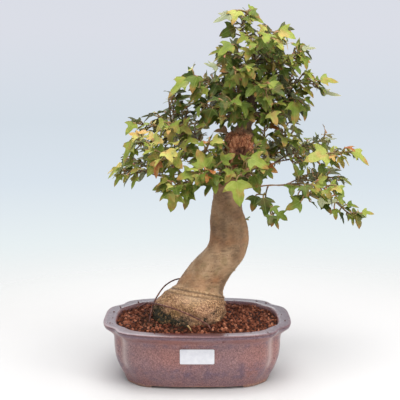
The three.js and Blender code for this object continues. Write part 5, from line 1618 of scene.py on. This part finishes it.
def blade_lift(across, along, fold_share, curl, wave):
    fold = fold_share * (math.hypot(across, 0.04) - 0.04)
    droop = -0.17 * along * along - 0.35 * max(0.0, abs(across) - 0.38) ** 2 * 4
    ripple = wave * math.sin(9 * along + 5 * abs(across)) * abs(across)
    return fold + droop + ripple + curl * across * along


def blade_mesh(kind):
    luck = dice(90 + kind)
    sweep = (kind + 0.5) / BLADE_KINDS
    spread, narrow = 0.16 * (next(luck) - 0.5), 0.94 + 0.14 * next(luck)
    bends = 0.12 + 0.42 * next(luck), 0.30 * (next(luck) - 0.5), 0.16 * (next(luck) - 0.5)
    half = blade_outline(sweep, spread, narrow)
    outline = half + [(-x, y) for x, y in reversed(half[1:-1])]
    inner = [spot for x, y in VEIN_POINTS for spot in ([(x, y), (-x, y)] if x else [(x, y)])]
    flat = [Vector(spot) for spot in outline + inner]
    edge = list(range(len(outline)))
    flat, _, faces, _, _, _ = delaunay_2d_cdt(flat, [], [edge], 1, 1e-5)
    upper = [list(face) if signed_area(flat, face) > 0 else list(face[::-1]) for face in faces]
    count, rim = len(flat), len(outline)
    points, places = [], []
    for sink, inset in ((0.0, 0.0), (BLADE_THICKNESS / 25, 0.035)):
        for index, (x, y) in enumerate(flat):
            if index < rim:
                x, y = x * (1 - inset), 0.4 + (y - 0.4) * (1 - inset)
            points.append((x, y, blade_lift(x, y, *bends) - sink))
            places.append((x, y, 0))
    lower = [[index + count for index in face[::-1]] for face in upper]
    wall = [[index, index + count, (index + 1) % rim + count, (index + 1) % rim] for index in edge]
    mesh = bpy.data.meshes.new(f"blade_{kind}")
    mesh.from_pydata(points, [], upper + lower + wall)
    store(mesh, "blade", places, "FLOAT_VECTOR", field="vector")
    store(mesh, "under", [0.0] * len(upper) + [1.0] * len(lower) + [0.5] * len(wall), domain="FACE")
    mesh.polygons.foreach_set("use_smooth", [True] * len(mesh.polygons))
    rims = ({*range(rim)}, {*range(count, count + rim)})
    creases = [any(set(edge.vertices) <= ring for ring in rims) for edge in mesh.edges]
    store(mesh, "sharp_edge", creases, "BOOLEAN", "EDGE", as_type=bool)
    return mesh


def signed_area(flat, face):
    a, b, c = (flat[index] for index in face[:3])
    return (b - a).cross(c - a)


blade_box = bpy.data.collections.new("blades")
for kind in range(BLADE_KINDS):
    blade_box.objects.link(bpy.data.objects.new(f"blade_{kind}", blade_mesh(kind)))


# %% [markdown]
# The leaf's finish starts from one number per leaf, its tint, which runs from the dark olive of the
# inner leaves through fresh and yellow green to the yellow, orange and red of the first autumn
# colour. Inner and lower leaves are darker green in life, and their tint is set darker still as
# painted shade. Three pale veins fan out from the stalk with finer ones between them, the margin is a
# little warmer, and the underside is a pale grey green. Some light passes through.

# %% Leaf finish
foliage = Finish("maple_leaf", Roughness=0.42, Specular_IOR_Level=0.2)
mottle = foliage.between(foliage.grain(9, detail=3), 0.25, 0.75, -0.07, 0.07)
uneven = foliage.maths("ADD", foliage.stored("tint"), mottle)
green = foliage.ramp(uneven, [
    (0.0, 42, 53, 20), (0.18, 68, 84, 30), (0.36, 104, 121, 46), (0.52, 146, 157, 68),
    (0.66, 184, 184, 96), (0.78, 204, 178, 98), (0.90, 166, 100, 54), (1.0, 132, 48, 36)])
bronze = foliage.ramp(uneven, [
    (0.0, 52, 48, 22), (0.18, 86, 80, 36), (0.36, 126, 116, 54), (0.52, 168, 148, 76),
    (0.66, 200, 172, 102), (0.78, 208, 160, 94), (0.90, 164, 94, 52), (1.0, 130, 46, 34)])
pale = foliage.ramp(uneven, [
    (0.0, 108, 114, 84), (0.5, 142, 148, 114), (0.75, 180, 166, 122), (1.0, 172, 108, 84)])
spot = foliage.add("Attribute", attribute_name="blade").outputs["Vector"]
flat_place = foliage.add("SeparateXYZ", {0: spot}).outputs
across_blade, along_blade = foliage.maths("ABSOLUTE", flat_place["X"]), flat_place["Y"]
side_line = foliage.maths("SUBTRACT", foliage.times(across_blade, 0.62), along_blade)
fine_line = foliage.maths("SUBTRACT", along_blade, foliage.times(across_blade, 0.9))
ripples = foliage.maths("ABSOLUTE", foliage.maths("SINE", foliage.times(fine_line, 34.0)))
midrib_share = foliage.between(across_blade, 0.006, 0.022, 1, 0)
side_share = foliage.between(foliage.maths("ABSOLUTE", side_line), 0.008, 0.024, 1, 0)
fine_share = foliage.between(ripples, 0.05, 0.22, 0.45, 0)
veins = foliage.maths("MAXIMUM", foliage.maths("MAXIMUM", midrib_share, side_share), fine_share)
# A little red shows along the margin of many leaves
flushed = foliage.times(foliage.between(foliage.grain(13, detail=3), 0.47, 0.60, 0, 0.6),
                        foliage.between(foliage.length(spot), 0.42, 0.9))
upper_colour = foliage.coats(
    green,
    (foliage.between(foliage.grain(17, detail=2), 0.50, 0.66), bronze),
    (flushed, (172, 104, 62)),
    (foliage.times(veins, 0.3), (170, 176, 104)))
lower_colour = foliage.coats(pale, (foliage.times(veins, 0.5), (206, 202, 160)))
sheet_colour = foliage.coats(upper_colour, (foliage.stored("under"), lower_colour))
foliage.colour(sheet_colour)
foliage.relief((veins, 0.12), (foliage.grain(2.2, detail=2), 0.08))
# Light that falls on the far side of a blade shows through it
glow_colour = foliage.coats(sheet_colour, (0.35, (190, 196, 70)))
foliage.mixed_with(foliage.add("BsdfTranslucent", {"Color": glow_colour}), 0.26)

stalk = Finish("leaf_stalk", Roughness=0.55)
stalk.colour(stalk.coats(
    stalk.ramp(stalk.stored("youth"), [
        (0.0, 64, 46, 34), (0.35, 82, 60, 40), (0.6, 112, 78, 48), (0.8, 138, 108, 62), (1.0, 196, 108, 92)]),
    (stalk.between(stalk.grain(6), 0.35, 0.65, 0, 0.5), (112, 112, 56))))
stalk.relief((stalk.grain(1.4, detail=2), 0.08))


# %% [markdown]
# One recipe dresses a whole spray. Its input is a mesh of bare points and edges: each loose point is
# a leaf, with its turn, size, kind of blade and tint, and each row of edges is a stem or a stalk.
# Leaves become copies of the eight blades and the paths become tubes.

# %% Recipe of a spray
spray_recipe = Recipe("spray_of_leaves", Sides=6)
is_leaf = spray_recipe.maths("GREATER_THAN", spray_recipe.stored("size"), 0.0)
split = spray_recipe.add("SeparateGeometry", {"Geometry": spray_recipe.given, "Selection": is_leaf},
                         domain="POINT")
hung = spray_recipe.set_on(split.outputs[0], blade_box, spray_recipe.stored("variant", "INT"),
                           spray_recipe.stored("size"), Rotation=spray_recipe.stored("turn", "QUATERNION"))
stems = spray_recipe.tubes(split.outputs[1])
spray_recipe.result(spray_recipe.dressed(hung, foliage), spray_recipe.dressed(stems, stalk))


# %% Tint of a leaf
def leaf_tint(leaf, luck):
    """Inner and lower leaves are dark, from their own green and from painted shade; outer ones are lighter, and
    the odd one has turned.
    """
    first, second, third = next(luck), next(luck), next(luck)
    if leaf.shade is not None:
        return abs(leaf.shade) * (0.86 if leaf.shade > 0.48 else 1)
    # Inner and lower leaves take a darker tint: their own darker green and painted shade
    reach = np.linalg.norm((leaf.base - [55, 0, leaf.base[2]]) * [1, 1.3, 1])
    outer = min(max((reach - 20) / 110, 0), 1)
    height = leaf.base[2]
    level = (height - 345) / 140 if height > 340 else (height - 240) / 95
    tone_with_shade = 0.05 + 0.24 * outer + 0.30 * min(max(level, 0), 1) + 0.34 * (first - 0.4)
    if leaf.node.share > 0.6 and second > 0.91 - 0.05 * level:
        tone_with_shade += 0.16 + 0.32 * third
    if leaf.length < 13:
        tone_with_shade += 0.14 * third
    return min(max(tone_with_shade, 0.04), 0.88)


def blade_share(leaf):
    """Blades stay a little shorter than their measured place, most of all in the airy lower right."""
    airy = leaf.base[0] > 75 and leaf.base[2] < 345
    return 0.9 if leaf.shade is not None else 0.84 if airy else 0.93


# %% Sprays
FREE_ROLL = 1.1
FREE_PITCH = 0.8


def stalk_path(leaf):
    """The stalk leaves its side of the stem squarely and turns into the midrib."""
    span = np.linalg.norm(leaf.base - leaf.root)
    out = leaf.node.sides()[leaf.side] * span * 0.9
    end = leaf.along * span * 0.7
    t = np.linspace(0, 1, 6)[:, None]
    rows = ((2 * t**3 - 3 * t**2 + 1) * leaf.root + (t**3 - 2 * t**2 + t) * out
            + (3 * t**2 - 2 * t**3) * leaf.base + (t**3 - t**2) * end)
    return np.vstack([rows, leaf.base + leaf.along * leaf.length * 0.03 - leaf.normal * 0.2])


def turned(one, other, angle):
    """Two square directions after a turn from the first towards the second."""
    return (one * math.cos(angle) + other * math.sin(angle), other * math.cos(angle) - one * math.sin(angle))


def spray_points(grown, luck):
    """Points and paths of one or more leafy stems, for the recipe of a spray."""
    places, edges, stored = [], [], {"thick": [], "size": [], "tint": [], "youth": []}
    turns, variants = [], []

    def put(place, thick=0.0, size=0.0, tint=0.0, youth=0.0, turn=(1, 0, 0, 0), variant=0):
        places.append(place)
        for key, value in (("thick", thick), ("size", size), ("tint", tint), ("youth", youth)):
            stored[key].append(value)
        turns.append(turn)
        variants.append(variant)

    def row(points, thicks, youths):
        first = len(places)
        for place, thick, youth in zip(points, thicks, youths):
            put(place, thick, youth=youth)
        edges.extend(chain(first, len(places)))

    for branch in grown:
        shares = np.linspace(0, 1, branch.count * 3 + 1)
        stem = np.array([stem_point(branch.stem, share) for share in shares])
        stem = np.vstack([branch.wood[-1] - unit(branch.wood[-1] - branch.wood[-2]) * 2, stem[1:],
                          stem[-1] + branch.nodes[-1].along * 1.5])
        thick = np.interp(np.linspace(0, 1, len(stem)), [0, 0.9, 1], [branch.radii[1], 0.75, 0.4])
        row(stem, thick, np.linspace(0.1, 0.7, len(stem)))
        for leaf in branch.leaves:
            slim = 0.18 + 0.006 * leaf.length
            path = stalk_path(leaf)
            row(path, np.interp(np.linspace(0, 1, len(path)), [0, 0.15, 1], [slim * 1.5, slim, slim * 0.75]),
                np.linspace(0.6, 0.8 if leaf.sweep < 0.7 else 1.0, len(path)))
        for leaf in branch.leaves:
            over = -1 if leaf.shade is not None and leaf.shade < 0 else 1
            free = 0.0 if leaf.shade is not None else 1.0
            roll_by, pitch_by = (free * most * (next(luck) - 0.5) for most in (FREE_ROLL, FREE_PITCH))
            across, normal = turned(leaf.across, leaf.normal, roll_by)
            along, normal = turned(leaf.along, normal, pitch_by)
            turn = Matrix(np.array([across * over, along, normal * over]).T.tolist()).to_quaternion()
            kind = min(int(leaf.sweep * BLADE_KINDS), BLADE_KINDS - 1)
            put(leaf.base, size=leaf.length / 1000 * blade_share(leaf), tint=leaf_tint(leaf, luck),
                turn=tuple(turn), variant=kind)
    return points_mesh("spray", places, edges, stored, turns, variants)


luck = dice(7)
for branch in branches:
    spray = as_object(f"foliage_{branch.name}", spray_points([branch], luck))
    finished(made_by(spray_recipe, spray), "leaf", f"spray_{branch.name}")
inner = as_object("short_shoots", spray_points(shoots, luck))
finished(made_by(spray_recipe, inner), "leaf")
empty_box(blade_box)


# %% [markdown]
# ## The limbs
# Limbs follow paths, so tubes make them too, from bare points with a thickness. Each swells where it
# comes out of the trunk, as a limb's collar does, and its skin is roughened by a noise that moves the
# points. The dead stubs and the green bud on the trunk are short paths as well.

# %% Recipe of the limbs
limb_recipe = Recipe("limbs_along_paths", Sides=14, Roughening=0.002, Scale=260.0)
lumps = limb_recipe.add("ShaderNodeTexNoise", {
    "Scale": limb_recipe.size("Scale"), "Detail": 2.0}).outputs["Fac"]
push = limb_recipe.times(limb_recipe.maths("SUBTRACT", lumps, 0.5), limb_recipe.size("Roughening"))
facing = limb_recipe.add("InputNormal").outputs["Normal"]
offset = limb_recipe.add("ShaderNodeVectorMath", {0: facing, "Scale": push}, operation="SCALE").outputs[0]
rough_tube = limb_recipe.add("SetPosition", {
    "Geometry": limb_recipe.tubes(limb_recipe.given), "Offset": offset}).outputs[0]
limb_recipe.result(limb_recipe.dressed(rough_tube, bark))

# %% Limbs, stubs and bud
TRUNK_NUBS = [((34, -4, 131), (41, -7, 131), 1.6), ((44, -4, 142), (51, -6, 144), 1.2),
              ((62, -2, 213), (69, -3, 212), 1.1)]


def trunk_radius_at(height):
    """Middle of the trunk and its mean radius at a height."""
    heights_of = (trunk_rows[:, 1] + trunk_rows[:, 3]) / 2
    row = [np.interp(height, heights_of, trunk_rows[:, column]) for column in range(6)]
    return np.array([(row[0] + row[2]) / 2, (row[4] + row[5]) / 2]), (row[2] - row[0] + row[5] - row[4]) / 4


def limb_rows(path, radii):
    rows = along_path(np.column_stack([path, radii]), max(4, 30 // len(path)))
    shape, thick = rows[:, :3], rows[:, 3].copy()
    for index, spot in enumerate(shape):
        middle, radius = trunk_radius_at(spot[2])
        outside_by = np.linalg.norm(spot[:2] - middle) - radius
        thick[index] *= 1 + 0.55 * math.exp(-max(outside_by, 0) / 5)
    return shape, thick


limb_places, limb_edges, limb_thick = [], [], []


def add_limb(places, thick):
    limb_edges.extend(chain(len(limb_places), len(limb_places) + len(places)))
    limb_places.extend(places)
    limb_thick.extend(thick)


for branch in branches:
    add_limb(*limb_rows(branch.wood, np.linspace(*branch.radii, len(branch.wood))))
# Thin limbs are young wood, painted darker too as shade inside the crown
limb_young_and_shade = [*np.clip(1.25 - np.array(limb_thick) / 3.2, 0.0, 0.9)]
for start, end, radius in TRUNK_NUBS:
    start, end = np.array(start), np.array(end)
    add_limb([start + (end - start) * share for share in (0, 0.35, 0.7, 0.92, 1)],
             [radius * swell for swell in (1.8, 1.1, 1.0, 0.85, 0.4)])
limb_young_and_shade += [0.0] * (len(limb_thick) - len(limb_young_and_shade))
bud_finish = Finish("green_bud", Roughness=0.5)
bud_finish.colour(bud_finish.ramp(bud_finish.grain(2), [(0.35, 92, 110, 74), (0.65, 146, 162, 128)]))
bud_rows = along_path([(61, -4, 212.5, 0.9), (66, -6, 214, 2.0), (70, -7, 217, 0.7)], 5)
bud = as_object("green_bud", path_mesh("green_bud", bud_rows[:, :3], bud_rows[:, 3]))
made_by(limb_recipe, bud, Roughening=0.0)
bud.data.materials[0] = bud_finish.material
finished(bud, "leaf")
limb_mesh = points_mesh("limbs", limb_places, limb_edges, {"thick": limb_thick, "young": limb_young_and_shade})
finished(made_by(limb_recipe, as_object("limbs", limb_mesh)), "bark", "trunk")
